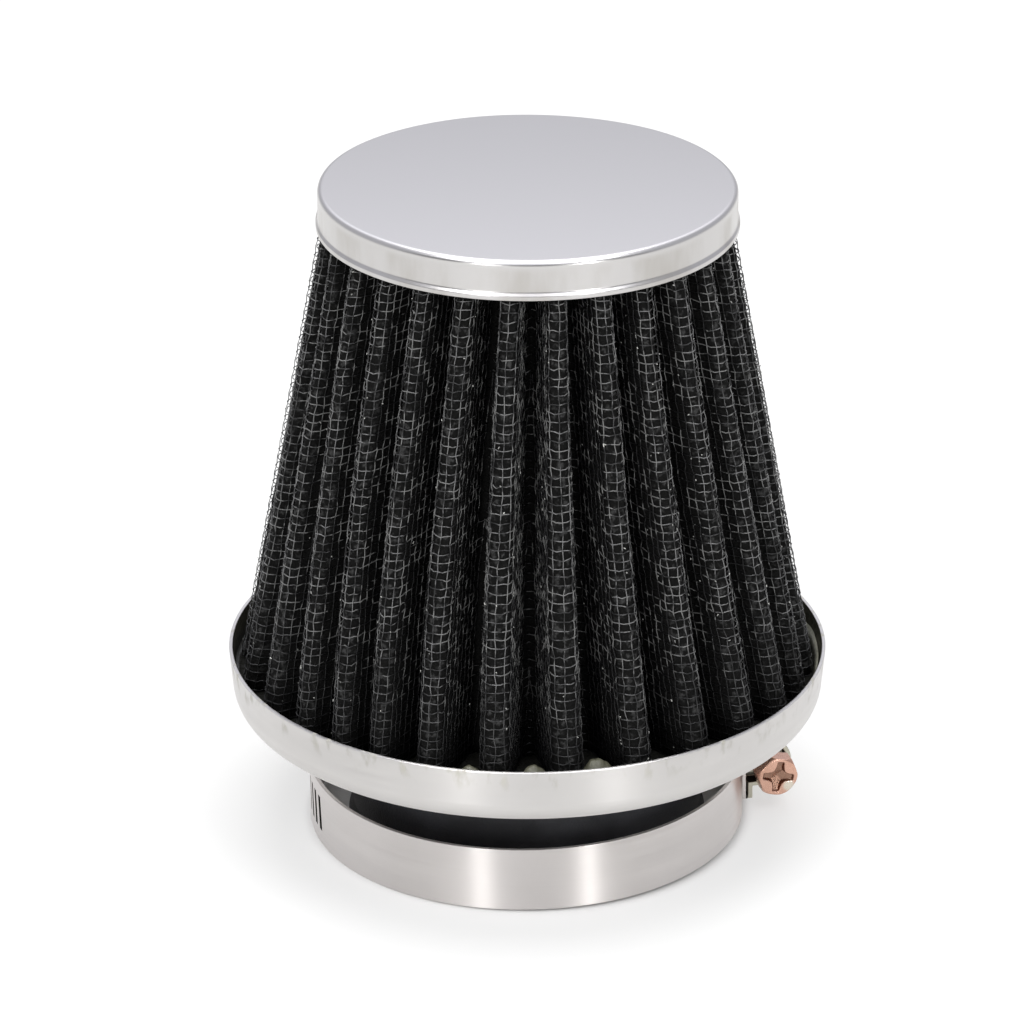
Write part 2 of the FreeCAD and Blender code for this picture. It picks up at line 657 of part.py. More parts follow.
def make_clamp_screw():
    """Worm screw: pilot, worm, neck and a hexagon head with a cross recess.

    Its own Z axis points out of the head, from the front of the housing.
    """
    body = new_body("clamp_screw")
    shaft = new_sketch(body, "screw_section", "XZ_Plane")
    corners = [
        ("0", "-screw_tip"),
        ("screw_tip_radius", "-screw_tip"),
        ("screw_tip_radius", "-worm_rear"),
        ("thread_radius", "-worm_rear"),
        ("thread_radius", "-worm_front"),
        ("screw_neck_radius", "-worm_front"),
        ("screw_neck_radius", "screw_neck_reach"),
        ("0", "screw_neck_reach"),
    ]
    draw_outline(shaft, corners)
    turned = body.newObject("PartDesign::Revolution", "screw_shaft")
    turned.Profile = shaft
    turned.ReferenceAxis = (shaft, ["V_Axis"])
    turned.Angle = 360
    hexagon = new_sketch(body, "screw_head_outline", "XY_Plane", "screw_neck_reach")
    corners = [
        ("head_flat", "head_side"),
        ("0", "head_corner"),
        ("-head_flat", "head_side"),
        ("-head_flat", "-head_side"),
        ("0", "-head_corner"),
        ("head_flat", "-head_side"),
    ]
    draw_outline(hexagon, corners)
    padded(body, hexagon, "screw_head", "head_height")
    bevel = new_sketch(body, "screw_bevel_outline", "XZ_Plane")
    corners = [
        ("head_bevel_radius", "head_top"),
        ("head_corner", "head_bevel_height"),
        ("head_corner", "head_top"),
    ]
    draw_outline(bevel, corners)
    groove = body.newObject("PartDesign::Groove", "screw_bevel")
    groove.Profile = bevel
    groove.ReferenceAxis = (bevel, ["V_Axis"])
    groove.Angle = 360
    recess = new_sketch(body, "screw_recess_outline", "XY_Plane", "head_top")
    arm = "recess_half_length"
    side = "recess_half_width"
    corners = [
        (side, side), (side, arm), ("-" + side, arm), ("-" + side, side),
        ("-" + arm, side), ("-" + arm, "-" + side), ("-" + side, "-" + side), ("-" + side, "-" + arm),
        (side, "-" + arm), (side, "-" + side), (arm, "-" + side), (arm, side),
    ]
    draw_outline(recess, corners)
    pocket = body.newObject("PartDesign::Pocket", "screw_recess")
    pocket.Profile = recess
    bind(pocket, "Length", "recess_depth")
    place = Vector(size("screw_axis"), -size("housing_half_length"), size("band_middle"))
    body.Placement = clamp_place(Placement(place, Rotation(Vector(1, 0, 0), 90)))
    return body


def check_document():
    """Stop if any object failed or if a sub-part isn't one sound solid."""
    for item in doc.Objects:
        bad = {"Invalid", "Error"} & set(item.State)
        if bad:
            raise RuntimeError(f"{item.Label} failed: {item.State}")
    for body in bodies:
        shape = body.Shape
        if shape.isNull() or not shape.isValid() or len(shape.Solids) != 1:
            raise RuntimeError(f"{body.Label} isn't one sound solid")


fill_sheet()
bodies = [
    make_top_cap(),
    make_top_potting(),
    make_pleated_sheet("outer_screen", "0", "screen_thickness"),
    make_pleated_sheet("filter_media", "media_outside", "media_inside"),
    make_pleated_sheet("inner_screen", "inner_screen_outside", "pack_thickness"),
    make_base_potting(),
    make_base_pan(),
    make_rubber_neck(),
    make_clamp_band(),
    make_clamp_saddle(),
    make_clamp_housing(),
    make_clamp_screw(),
]
doc.recompute()
check_document()
os.makedirs("parts", exist_ok=True)
for part_body in bodies:
    part_body.Shape.exportStep(f"parts/{part_body.Label}.step")
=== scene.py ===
"""Looks of a clamp-on cone air filter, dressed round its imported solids.

Lengths are metres, angles are radians, +Z is up and -Y faces the viewer.
"""

import logging
import math
from dataclasses import dataclass, replace
from enum import Enum
from typing import Any, Callable, Optional, Sequence

import bmesh
import bpy
import numpy as np
from mathutils import Matrix, Vector


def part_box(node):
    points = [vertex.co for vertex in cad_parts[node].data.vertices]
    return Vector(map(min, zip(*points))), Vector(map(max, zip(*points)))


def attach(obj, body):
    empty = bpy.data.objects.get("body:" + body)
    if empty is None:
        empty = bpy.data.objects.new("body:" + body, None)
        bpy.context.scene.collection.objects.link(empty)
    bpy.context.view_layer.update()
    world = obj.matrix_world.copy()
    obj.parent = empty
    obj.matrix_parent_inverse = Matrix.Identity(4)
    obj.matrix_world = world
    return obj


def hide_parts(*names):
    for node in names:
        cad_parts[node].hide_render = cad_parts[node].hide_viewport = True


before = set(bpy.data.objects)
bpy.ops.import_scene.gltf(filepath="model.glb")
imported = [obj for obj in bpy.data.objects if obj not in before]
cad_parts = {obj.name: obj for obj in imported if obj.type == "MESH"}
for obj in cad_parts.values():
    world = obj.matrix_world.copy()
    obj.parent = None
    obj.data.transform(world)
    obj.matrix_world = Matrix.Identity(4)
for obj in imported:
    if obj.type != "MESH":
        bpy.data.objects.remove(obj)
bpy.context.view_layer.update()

LOG = logging.getLogger("air_filter")
MM = 0.001
DEGREE = math.pi / 180
SEED = 28

Colour = tuple[float, float, float]
Range = tuple[float, float]
Cell = tuple[int, int]
Shift = Callable[[np.ndarray], np.ndarray]
Socket = bpy.types.NodeSocket
Piece = bpy.types.Object
Material = bpy.types.Material


class Body(Enum):
    """The bodies that pieces ride on."""

    FILTER = "filter"
    SCREW = "screw"


class Slot(Enum):
    """The record's finishes."""

    CAP = "cap_metal"
    PAN = "pan_metal"
    WIRE = "screen_wire"
    MEDIA = "filter_sheet"
    GLUE = "potting_glue"
    RUBBER = "neck_rubber"
    BAND = "band_steel"
    SCREW = "screw_plating"


# Node trees


class Nodes:
    """A short way to place and link the nodes of one tree."""

    def __init__(self, tree: bpy.types.NodeTree) -> None:
        """Keep the tree."""
        self.tree = tree

    def add(self, kind: str, inputs: Optional[dict] = None, **settings: Any) -> bpy.types.Node:
        """Place a node.

        Args:
            kind: The node's type.
            inputs: Values or sockets for its inputs, by name or number.
            settings: Plain fields of the node.

        Returns:
            The node.
        """
        node = self.tree.nodes.new(kind)
        for field, value in settings.items():
            setattr(node, field, value)
        for key, value in (inputs or {}).items():
            if isinstance(value, Socket):
                self.tree.links.new(value, node.inputs[key])
            else:
                node.inputs[key].default_value = value
        return node

    def math(self, operation: str, first: Any, second: Any = 0.0) -> Socket:
        """Place a Math node and return its result."""
        return self.add("ShaderNodeMath", {0: first, 1: second}, operation=operation).outputs[0]

    def mix(self, share: Any, first: Any, second: Any) -> Socket:
        """Mix two colours and return the result."""
        colours = [value if isinstance(value, Socket) else (*value, 1.0) for value in (first, second)]
        inputs = {0: share, 6: colours[0], 7: colours[1]}
        return self.add("ShaderNodeMix", inputs, data_type="RGBA").outputs[2]

    def spread(self, value: Any, low: Any, high: Any, start: Any = 0.0, end: Any = 1.0) -> Socket:
        """Map a value from low..high to start..end, smoothly and clamped."""
        inputs = {"Value": value, "From Min": low, "From Max": high, "To Min": start, "To Max": end}
        return self.add("ShaderNodeMapRange", inputs, interpolation_type="SMOOTHSTEP").outputs[0]

    def between(self, mask: Socket, start: Any, end: Any) -> Socket:
        """Turn a mask of nought to one into a value from start to end."""
        return self.spread(mask, 0.0, 1.0, start, end)

    def place(self) -> Socket:
        """Return where the shaded point lies in its object's own frame."""
        return self.add("ShaderNodeTexCoord").outputs["Object"]

    def give(self, value: Socket) -> bpy.types.NodeTree:
        """Put a value out of a group and return the group."""
        self.add("NodeGroupOutput", {0: value})
        return self.tree


class NodeGroups:
    """Effects that several finishes share, each built once."""

    streak_detail: float = 5.0
    blotch_detail: float = 6.0

    def __init__(self) -> None:
        """Build the groups."""
        self.streaks = self.make_streaks()
        self.blotches = self.make_blotches()
        self.specks = self.make_specks()
        self.level = self.make_level()
        self.ridges = self.make_ridges()

    @staticmethod
    def start(name: str, inputs: Sequence[str], output: str) -> tuple[Nodes, list[Socket]]:
        """Open a group whose sockets are plain numbers.

        Args:
            name: The group's name.
            inputs: Names of its inputs.
            output: Name of its one output.

        Returns:
            The group's node helper, and a socket for each input.
        """
        tree = bpy.data.node_groups.new(name, "ShaderNodeTree")
        for socket in inputs:
            tree.interface.new_socket(name=socket, in_out="INPUT", socket_type="NodeSocketFloat")
        tree.interface.new_socket(name=output, in_out="OUTPUT", socket_type="NodeSocketFloat")
        nodes = Nodes(tree)
        given = nodes.add("NodeGroupInput").outputs
        return nodes, [given[socket] for socket in inputs]

    def make_streaks(self) -> bpy.types.NodeTree:
        """Fine lines that run round the axis: noise stretched level and tight in height."""
        nodes, (around, up) = self.start("rolled_streaks", ("Around", "Up"), "Streak")
        stretch = nodes.add("ShaderNodeCombineXYZ", {0: around, 1: around, 2: up}).outputs[0]
        scaled = nodes.add("ShaderNodeVectorMath", {0: nodes.place(), 1: stretch}, operation="MULTIPLY")
        inputs = {"Vector": scaled.outputs[0], "Scale": 1.0, "Detail": self.streak_detail}
        return nodes.give(nodes.add("ShaderNodeTexNoise", inputs).outputs[0])

    def make_blotches(self) -> bpy.types.NodeTree:
        """Soft patches: a mask from noise between two levels."""
        nodes, (scale, low, high) = self.start("blotches", ("Scale", "Low", "High"), "Mask")
        inputs = {"Vector": nodes.place(), "Scale": scale, "Detail": self.blotch_detail}
        noise = nodes.add("ShaderNodeTexNoise", inputs).outputs[0]
        return nodes.give(nodes.spread(noise, low, high))

    def make_specks(self) -> bpy.types.NodeTree:
        """Scattered dots: a mask from the cells that fall in a share of all, near their centres."""
        nodes, (scale, reach, share) = self.start("specks", ("Scale", "Reach", "Share"), "Mask")
        cells = nodes.add("ShaderNodeTexVoronoi", {"Vector": nodes.place(), "Scale": scale}).outputs
        chosen = nodes.math("LESS_THAN", cells["Color"], share)
        near = nodes.math("LESS_THAN", cells["Distance"], reach)
        return nodes.give(nodes.math("MULTIPLY", chosen, near))

    def make_level(self) -> bpy.types.NodeTree:
        """A mask that rises with height, from one level to another."""
        nodes, (foot, head) = self.start("level", ("From", "To"), "Mask")
        height = nodes.add("ShaderNodeSeparateXYZ", {0: nodes.place()}).outputs[2]
        return nodes.give(nodes.spread(height, foot, head))

    def make_ridges(self) -> bpy.types.NodeTree:
        """A mask that is one on a cone's ridges and falls off towards its axis."""
        names = ("Foot", "Head", "Foot Radius", "Head Radius", "Low", "High")
        nodes, (foot, head, foot_radius, head_radius, low, high) = self.start("ridges", names, "Mask")
        parts = nodes.add("ShaderNodeSeparateXYZ", {0: nodes.place()}).outputs
        inputs = {"Value": parts[2], "From Min": foot, "From Max": head,
                  "To Min": foot_radius, "To Max": head_radius}
        cone = nodes.add("ShaderNodeMapRange", inputs).outputs[0]
        squares = [nodes.math("MULTIPLY", part, part) for part in (parts[0], parts[1])]
        radius = nodes.math("SQRT", nodes.math("ADD", *squares))
        return nodes.give(nodes.spread(nodes.math("DIVIDE", radius, cone), low, high))


GROUPS = NodeGroups()


class Surface:
    """One material: its nodes and its Principled shader."""

    def __init__(self, name: str) -> None:
        """Start an empty material."""
        self.material = bpy.data.materials.new(name)
        self.material.use_nodes = True
        tree = self.material.node_tree
        tree.nodes.clear()
        self.nodes = Nodes(tree)
        self.shader = self.nodes.add("ShaderNodeBsdfPrincipled")
        output = self.nodes.add("ShaderNodeOutputMaterial")
        tree.links.new(self.shader.outputs[0], output.inputs[0])

    def effect(self, group: bpy.types.NodeTree, *values: float) -> Socket:
        """Place a shared effect with its own values and return what it puts out."""
        node = self.nodes.add("ShaderNodeGroup", node_tree=group)
        for socket, value in zip(node.inputs, values):
            socket.default_value = value
        return node.outputs[0]

    def set(self, name: str, value: Any) -> None:
        """Set a shader input to a constant, or link a socket to it."""
        if isinstance(value, Socket):
            self.nodes.tree.links.new(value, self.shader.inputs[name])
        else:
            self.shader.inputs[name].default_value = value

    def bump(self, height: Socket, distance: float, strength: float = 1.0) -> None:
        """Raise the surface by a height map."""
        inputs = {"Strength": strength, "Distance": distance, "Height": height}
        self.set("Normal", self.nodes.add("ShaderNodeBump", inputs).outputs[0])


# Finishes


@dataclass(frozen=True)
class SteelFinish:
    """Bare pressed steel with rolling streaks, soft stains, pits and smears of old glue."""

    slot: Slot
    colour: Colour
    stain: Colour
    roughness: float
    roughness_swing: float
    anisotropy: float
    streak_around: float
    streak_up: float
    streak_height: float
    pit_share: float
    streak_limits: Range = (0.3, 0.7)
    stain_scale: float = 55.0
    stain_limits: Range = (0.42, 0.66)
    smear_zone: Range = (0.2, 0.3)
    smear_limits: Range = (0.9, 1.0)
    smear_colour: Colour = (0.40, 0.38, 0.29)
    smear_around: float = 420.0
    smear_up: float = 110.0
    smear_metal: float = 0.25
    smear_matt: float = 0.3
    smear_height: float = 0.15
    pit_scale: float = 420.0
    pit_reach: float = 0.16
    pit_depth: float = 0.00006
    pit_dark: float = 0.35
    across_turn: float = 0.25
    name: str = ""

    def make(self) -> Material:
        """Return the material."""
        surface = Surface((self.name or self.slot.value) + "_look")
        nodes = surface.nodes
        streak = surface.effect(GROUPS.streaks, self.streak_around, self.streak_up)
        stain = surface.effect(GROUPS.blotches, self.stain_scale, *self.stain_limits)
        pits = surface.effect(GROUPS.specks, self.pit_scale, self.pit_reach, self.pit_share)
        drips = surface.effect(GROUPS.streaks, self.smear_around, self.smear_up)
        zone = surface.effect(GROUPS.level, *self.smear_zone)
        smear = nodes.math("MULTIPLY", nodes.spread(drips, *self.smear_limits), zone)
        bare = nodes.mix(stain, self.colour, self.stain)
        pitted = nodes.mix(pits, bare, tuple(self.pit_dark * part for part in self.colour))
        surface.set("Base Color", nodes.mix(smear, pitted, self.smear_colour))
        surface.set("Metallic", nodes.between(smear, 1.0, self.smear_metal))
        low = self.roughness - self.roughness_swing
        high = self.roughness + self.roughness_swing
        polish = nodes.spread(streak, *self.streak_limits, low, high)
        surface.set("Roughness", nodes.math("ADD", polish, nodes.math("MULTIPLY", smear, self.smear_matt)))
        surface.set("Anisotropic", self.anisotropy)
        surface.set("Anisotropic Rotation", self.across_turn)
        lines = nodes.math("MULTIPLY", streak, self.streak_height / self.pit_depth)
        dented = nodes.math("SUBTRACT", lines, pits)
        raised = nodes.math("ADD", dented, nodes.math("MULTIPLY", smear, self.smear_height))
        surface.bump(raised, self.pit_depth)
        return surface.material


@dataclass(frozen=True)
class WireFinish:
    """Black-painted wire: grey in patches from rubbing and from painted light, kept to the ridges so that
    the valleys hold painted shade; painted glints in short streaks on the flanks; dimmer towards the base,
    and dotted with dust.
    """

    cone: tuple[float, float, float, float]
    slot: Slot = Slot.WIRE
    paint: Colour = (0.006, 0.006, 0.0065)
    # grey of rubbing that also stands for painted light on the ridges
    rubbed_and_lit: Colour = (0.160, 0.160, 0.162)
    dust: Colour = (0.62, 0.62, 0.59)
    roughness: Range = (0.42, 0.26)
    shine: float = 0.5
    flake_height: float = 0.00002
    rub_scale: float = 700.0
    rub_limits: Range = (0.40, 0.62)
    wear_scale: float = 210.0
    wear_limits: Range = (0.36, 0.60)
    dust_scale: float = 620.0
    dust_reach: float = 0.20
    dust_share: float = 0.10
    flank_dust: float = 0.30
    ridge_limits: Range = (0.964, 0.990)
    # painted highlights: short grey glints on the wires of the flanks
    glint: Colour = (0.175, 0.175, 0.172)
    glint_scale: float = 430.0
    glint_limits: Range = (0.50, 0.58)
    fade_zone: Range = (0.029, 0.050)
    faded: float = 0.22
    fine_least: float = 0.03
    coarse_least: float = 0.20

    def make(self) -> Material:
        """Return the material."""
        surface = Surface(self.slot.value + "_look")
        nodes = surface.nodes
        ridge = surface.effect(GROUPS.ridges, *self.cone, *self.ridge_limits)
        raised = surface.effect(GROUPS.level, *self.fade_zone)
        patches = surface.effect(GROUPS.blotches, self.rub_scale, *self.rub_limits)
        wear = surface.effect(GROUPS.blotches, self.wear_scale, *self.wear_limits)
        dots = surface.effect(GROUPS.specks, self.dust_scale, self.dust_reach, self.dust_share)
        # painted light and shade: the ridge mask lets the grey show only on the ridges, and the level mask
        # dims it towards the base
        lit_ridges = nodes.math("MULTIPLY", ridge, nodes.between(raised, self.faded, 1.0))
        fine = nodes.between(patches, self.fine_least, 1.0)
        coarse = nodes.between(wear, self.coarse_least, 1.0)
        # painted highlights on the flanks' wires, dimmed towards the base
        painted_glints = surface.effect(GROUPS.blotches, self.glint_scale, *self.glint_limits)
        shaded = nodes.mix(nodes.math("MULTIPLY", painted_glints, raised), self.paint, self.glint)
        spots = nodes.math("MULTIPLY", lit_ridges, nodes.math("MULTIPLY", fine, coarse))
        wear_and_painted_light = nodes.mix(spots, shaded, self.rubbed_and_lit)
        dusty = nodes.math("MULTIPLY", dots, nodes.between(ridge, self.flank_dust, 1.0))
        surface.set("Base Color", nodes.mix(dusty, wear_and_painted_light, self.dust))
        surface.set("Roughness", nodes.between(patches, *self.roughness))
        surface.set("Specular IOR Level", self.shine)
        surface.bump(patches, self.flake_height)
        return surface.material


@dataclass(frozen=True)
class LintFinish:
    """Pale specks of lint and dust caught on the screen, each of its own brightness."""

    bright: Colour = (0.62, 0.62, 0.59)
    dim: Colour = (0.10, 0.10, 0.098)
    scale: float = 300.0
    limits: Range = (0.35, 0.65)
    roughness: Range = (0.6, 0.8)

    def make(self) -> Material:
        """Return the material."""
        surface = Surface("lint_look")
        share = surface.effect(GROUPS.blotches, self.scale, *self.limits)
        surface.set("Base Color", surface.nodes.mix(share, self.dim, self.bright))
        surface.set("Roughness", surface.nodes.between(share, *self.roughness))
        return surface.material


@dataclass(frozen=True)
class ClothFinish:
    """Matt black filter sheet: fibres and a little lint, most of it on the ridges."""

    cone: tuple[float, float, float, float]
    slot: Slot = Slot.MEDIA
    colour: Colour = (0.0080, 0.0080, 0.0078)
    lint: Colour = (0.052, 0.052, 0.052)
    ridge_limits: Range = (0.93, 0.99)
    fibre_scale: float = 1900.0
    fibre_limits: Range = (0.30, 0.70)
    fibre_height: float = 0.00012
    lint_scale: float = 950.0
    lint_limits: Range = (0.50, 0.70)
    roughness: Range = (0.85, 0.98)
    shine: float = 0.06

    def make(self) -> Material:
        """Return the material."""
        surface = Surface(self.slot.value + "_look")
        nodes = surface.nodes
        ridge = surface.effect(GROUPS.ridges, *self.cone, *self.ridge_limits)
        fibres = surface.effect(GROUPS.blotches, self.fibre_scale, *self.fibre_limits)
        lint = surface.effect(GROUPS.blotches, self.lint_scale, *self.lint_limits)
        surface.set("Base Color", nodes.mix(nodes.math("MULTIPLY", lint, ridge), self.colour, self.lint))
        surface.set("Roughness", nodes.between(fibres, *self.roughness))
        surface.set("Specular IOR Level", self.shine)
        surface.bump(fibres, self.fibre_height)
        return surface.material


@dataclass(frozen=True)
class InnerScreenFinish:
    """Dark inner screen, woven fine enough to read as a grained sheet."""

    slot: Slot = Slot.WIRE
    colour: Colour = (0.030, 0.030, 0.032)
    wear_and_painted_light: Colour = (0.10, 0.10, 0.105)
    weave_around: float = 450.0
    weave_up: float = 900.0
    weave_limits: Range = (0.3, 0.7)
    weave_height: float = 0.0002
    rub_scale: float = 900.0
    rub_limits: Range = (0.40, 0.60)
    roughness: Range = (0.35, 0.55)

    def make(self) -> Material:
        """Return the material."""
        surface = Surface("inner_screen_look")
        nodes = surface.nodes
        weave = surface.effect(GROUPS.streaks, self.weave_around, self.weave_up)
        rub = surface.effect(GROUPS.blotches, self.rub_scale, *self.rub_limits)
        surface.set("Base Color", nodes.mix(rub, self.colour, self.wear_and_painted_light))
        surface.set("Roughness", nodes.spread(weave, *self.weave_limits, *self.roughness))
        surface.bump(weave, self.weave_height)
        return surface.material


@dataclass(frozen=True)
class GlueFinish:
    """Cured potting glue: olive where it stands proud, near black low in the valleys as painted shade."""

    slot: Slot = Slot.GLUE
    colour: Colour = (0.105, 0.104, 0.072)
    pale: Colour = (0.200, 0.197, 0.142)
    painted_shade: Colour = (0.010, 0.010, 0.008)
    painted_shade_zone: Range = (0.0274, 0.0294)
    cloud_scale: float = 130.0
    cloud_limits: Range = (0.35, 0.65)
    grain_scale: float = 900.0
    grain_limits: Range = (0.30, 0.70)
    grain_height: float = 0.00008
    roughness: Range = (0.38, 0.53)
    name: str = ""

    def make(self) -> Material:
        """Return the material."""
        surface = Surface((self.name or self.slot.value) + "_look")
        nodes = surface.nodes
        cloud = surface.effect(GROUPS.blotches, self.cloud_scale, *self.cloud_limits)
        grain = surface.effect(GROUPS.blotches, self.grain_scale, *self.grain_limits)
        # painted shade: the glue turns near black below a height, low in the valleys
        proud = surface.effect(GROUPS.level, *self.painted_shade_zone)
        fresh = nodes.mix(cloud, self.colour, self.pale)
        surface.set("Base Color", nodes.mix(proud, self.painted_shade, fresh))
        surface.set("Roughness", nodes.between(grain, *self.roughness))
        surface.bump(grain, self.grain_height)
        return surface.material


@dataclass(frozen=True)
class RubberFinish:
    """Moulded black rubber with a fine grain and a little dust."""

    slot: Slot = Slot.RUBBER
    colour: Colour = (0.024, 0.024, 0.027)
    bloom: Colour = (0.056, 0.057, 0.064)
    bloom_scale: float = 60.0
    bloom_limits: Range = (0.40, 0.70)
    grain_scale: float = 2600.0
    grain_limits: Range = (0.30, 0.70)
    grain_height: float = 0.00003
    dust: Colour = (0.25, 0.25, 0.25)
    dust_scale: float = 480.0
    dust_reach: float = 0.10
    dust_share: float = 0.06
    roughness: Range = (0.42, 0.54)

    def make(self) -> Material:
        """Return the material."""
        surface = Surface(self.slot.value + "_look")
        nodes = surface.nodes
        bloom = surface.effect(GROUPS.blotches, self.bloom_scale, *self.bloom_limits)
        grain = surface.effect(GROUPS.blotches, self.grain_scale, *self.grain_limits)
        dots = surface.effect(GROUPS.specks, self.dust_scale, self.dust_reach, self.dust_share)
        surface.set("Base Color", nodes.mix(dots, nodes.mix(bloom, self.colour, self.bloom), self.dust))
        surface.set("Roughness", nodes.between(bloom, *self.roughness))
        surface.bump(grain, self.grain_height)
        return surface.material


@dataclass(frozen=True)
class PlatedFinish:
    """Copper-coloured plating with handling marks and tarnish, and a pale painted reflection of the white
    floor round one spot.
    """

    painted_reflection_place: tuple[float, float, float]
    painted_reflection_reach: float
    slot: Slot = Slot.SCREW
    colour: Colour = (0.66, 0.40, 0.305)
    tarnish: Colour = (0.56, 0.32, 0.23)
    wear_and_painted_light: Colour = (0.72, 0.68, 0.58)
    painted_reflection_core: float = 0.45
    painted_reflection_most: float = 0.9
    tarnish_scale: float = 180.0
    tarnish_limits: Range = (0.40, 0.80)
    mark_scale: float = 1500.0
    mark_limits: Range = (0.35, 0.65)
    mark_height: float = 0.000006
    roughness: Range = (0.23, 0.33)
    name: str = ""

    def make(self) -> Material:
        """Return the material."""
        surface = Surface((self.name or self.slot.value) + "_look")
        nodes = surface.nodes
        tarnish = surface.effect(GROUPS.blotches, self.tarnish_scale, *self.tarnish_limits)
        marks = surface.effect(GROUPS.blotches, self.mark_scale, *self.mark_limits)
        # painted reflection: pale, strongest at one spot of the head's face and gone by its reach
        inputs = {0: nodes.place(), 1: self.painted_reflection_place}
        off = nodes.add("ShaderNodeVectorMath", inputs, operation="DISTANCE").outputs["Value"]
        wear_and_painted_light = nodes.spread(off, self.painted_reflection_core * self.painted_reflection_reach, self.painted_reflection_reach, self.painted_reflection_most, 0.0)
        surface.set("Base Color", nodes.mix(wear_and_painted_light, nodes.mix(tarnish, self.colour, self.tarnish), self.wear_and_painted_light))
        surface.set("Metallic", 1.0)
        surface.set("Roughness", nodes.between(marks, *self.roughness))
        surface.bump(marks, self.mark_height)
        return surface.material


# The smudges on the skirt below the top are partly painted shade: they make the skirt darker than the top.
CAP_STEEL = SteelFinish(
    slot=Slot.CAP, colour=(0.600, 0.588, 0.580), stain=(0.600, 0.588, 0.580),
    roughness=0.28, roughness_swing=0.0, anisotropy=0.0,
    streak_around=60.0, streak_up=1500.0, streak_height=0.0,
    pit_share=0.10, pit_scale=110.0, pit_reach=0.030,
    smear_zone=(0.1080, 0.1068), smear_limits=(0.38, 0.66),
    smear_colour=(0.500, 0.482, 0.458), smear_around=150.0, smear_up=45.0,
    smear_metal=1.0, smear_matt=0.04, smear_height=0.0,
)
PAN_STEEL = SteelFinish(
    slot=Slot.PAN, colour=(0.650, 0.634, 0.618), stain=(0.630, 0.614, 0.598),
    roughness=0.36, roughness_swing=0.03, anisotropy=0.85,
    streak_around=50.0, streak_up=900.0, streak_height=0.0, pit_share=0.012,
    smear_zone=(0.0266, 0.0306), smear_limits=(0.52, 0.72),
    smear_colour=(0.49, 0.475, 0.42), smear_around=480.0, smear_up=260.0,
)
# The dish's inner wall: dark glue colours, partly glue smeared up the wall, partly a painted reflection of
# the black pack and glue, with painted shade low down.
PAN_INSIDE = GlueFinish(
    slot=Slot.PAN, colour=(0.040, 0.038, 0.026), pale=(0.110, 0.106, 0.076),
    painted_shade=(0.020, 0.019, 0.014), name="pan_inside",
)
BAND_STEEL = SteelFinish(
    slot=Slot.BAND, colour=(0.735, 0.702, 0.680), stain=(0.700, 0.668, 0.646),
    roughness=0.38, roughness_swing=0.04, anisotropy=0.95,
    streak_around=30.0, streak_up=2400.0, streak_height=0.0000006, pit_share=0.010,
)
HOUSING_STEEL = SteelFinish(
    slot=Slot.BAND, colour=(0.540, 0.525, 0.440), stain=(0.470, 0.450, 0.370),
    roughness=0.32, roughness_swing=0.05, anisotropy=0.0,
    streak_around=300.0, streak_up=900.0, streak_height=0.000002, pit_share=0.03,
    name="housing_steel",
)
# Painted shade: near-black steel on the slot walls and on the housing's faces that look in, or forward
# under the screw.
PAINTED_SHADE_STEEL = replace(
    HOUSING_STEEL, colour=(0.045, 0.044, 0.040), stain=(0.030, 0.029, 0.026),
    roughness=0.55, name="painted_shade_steel",
)


# Meshes

ARC_STEP = 12 * DEGREE
FLAT_HOLD = 0.06 * MM
FILLET_SHARE = 0.48
TURNED_WELD = 0.002 * MM
FINE_WELD = 0.001 * MM
FLAT_ANGLE = 0.5 * DEGREE
BEVEL_ANGLE = 40 * DEGREE
BEVEL_STEPS = 2


def grid_quads(rows: int, columns: int, wrap_rows: bool, wrap_columns: bool) -> np.ndarray:
    """Number the quads of a grid of points.

    Args:
        rows: Count of rows.
        columns: Count of points in a row.
        wrap_rows: Whether the last row joins the first.
        wrap_columns: Whether each row closes on itself.

    Returns:
        One row of four point numbers for each quad.
    """
    row = np.arange(rows if wrap_rows else rows - 1)[:, None]
    column = np.arange(columns if wrap_columns else columns - 1)[None, :]
    next_row = (row + 1) % rows
    next_column = (column + 1) % columns
    corners = (
        row * columns + column,
        row * columns + next_column,
        next_row * columns + next_column,
        next_row * columns + column,
    )
    shape = (row.size, column.size)
    return np.stack([np.broadcast_to(corner, shape) for corner in corners], axis=-1).reshape(-1, 4)


def link_object(name: str, data: bpy.types.ID) -> Piece:
    """Put a mesh, a lamp or a camera in the scene as an object."""
    piece = bpy.data.objects.new(name, data)
    bpy.context.scene.collection.objects.link(piece)
    return piece


def mesh_piece(name: str, points: np.ndarray, faces: Any, weld: float = 0.0) -> Piece:
    """Make a smooth-shaded object from points and faces, with its faces turned outwards.

    Args:
        name: The piece's name.
        points: One row for each point.
        faces: Point numbers of each face.
        weld: Points closer than this become one; zero leaves them.

    Returns:
        The object, linked to the scene.
    """
    mesh = bpy.data.meshes.new(name)
    mesh.from_pydata(np.asarray(points, float).tolist(), [], [list(map(int, face)) for face in faces])
    work = bmesh.new()
    work.from_mesh(mesh)
    if weld:
        bmesh.ops.remove_doubles(work, verts=work.verts, dist=weld)
    bmesh.ops.recalc_face_normals(work, faces=work.faces)
    for face in work.faces:
        face.smooth = True
    work.to_mesh(mesh)
    work.free()
    return link_object(name, mesh)


def mark_faces(piece: Piece, chosen: Callable[[bpy.types.MeshPolygon], bool]) -> None:
    """Mark the chosen faces of a piece for its second finish."""
    for face in piece.data.polygons:
        face.material_index = int(chosen(face))


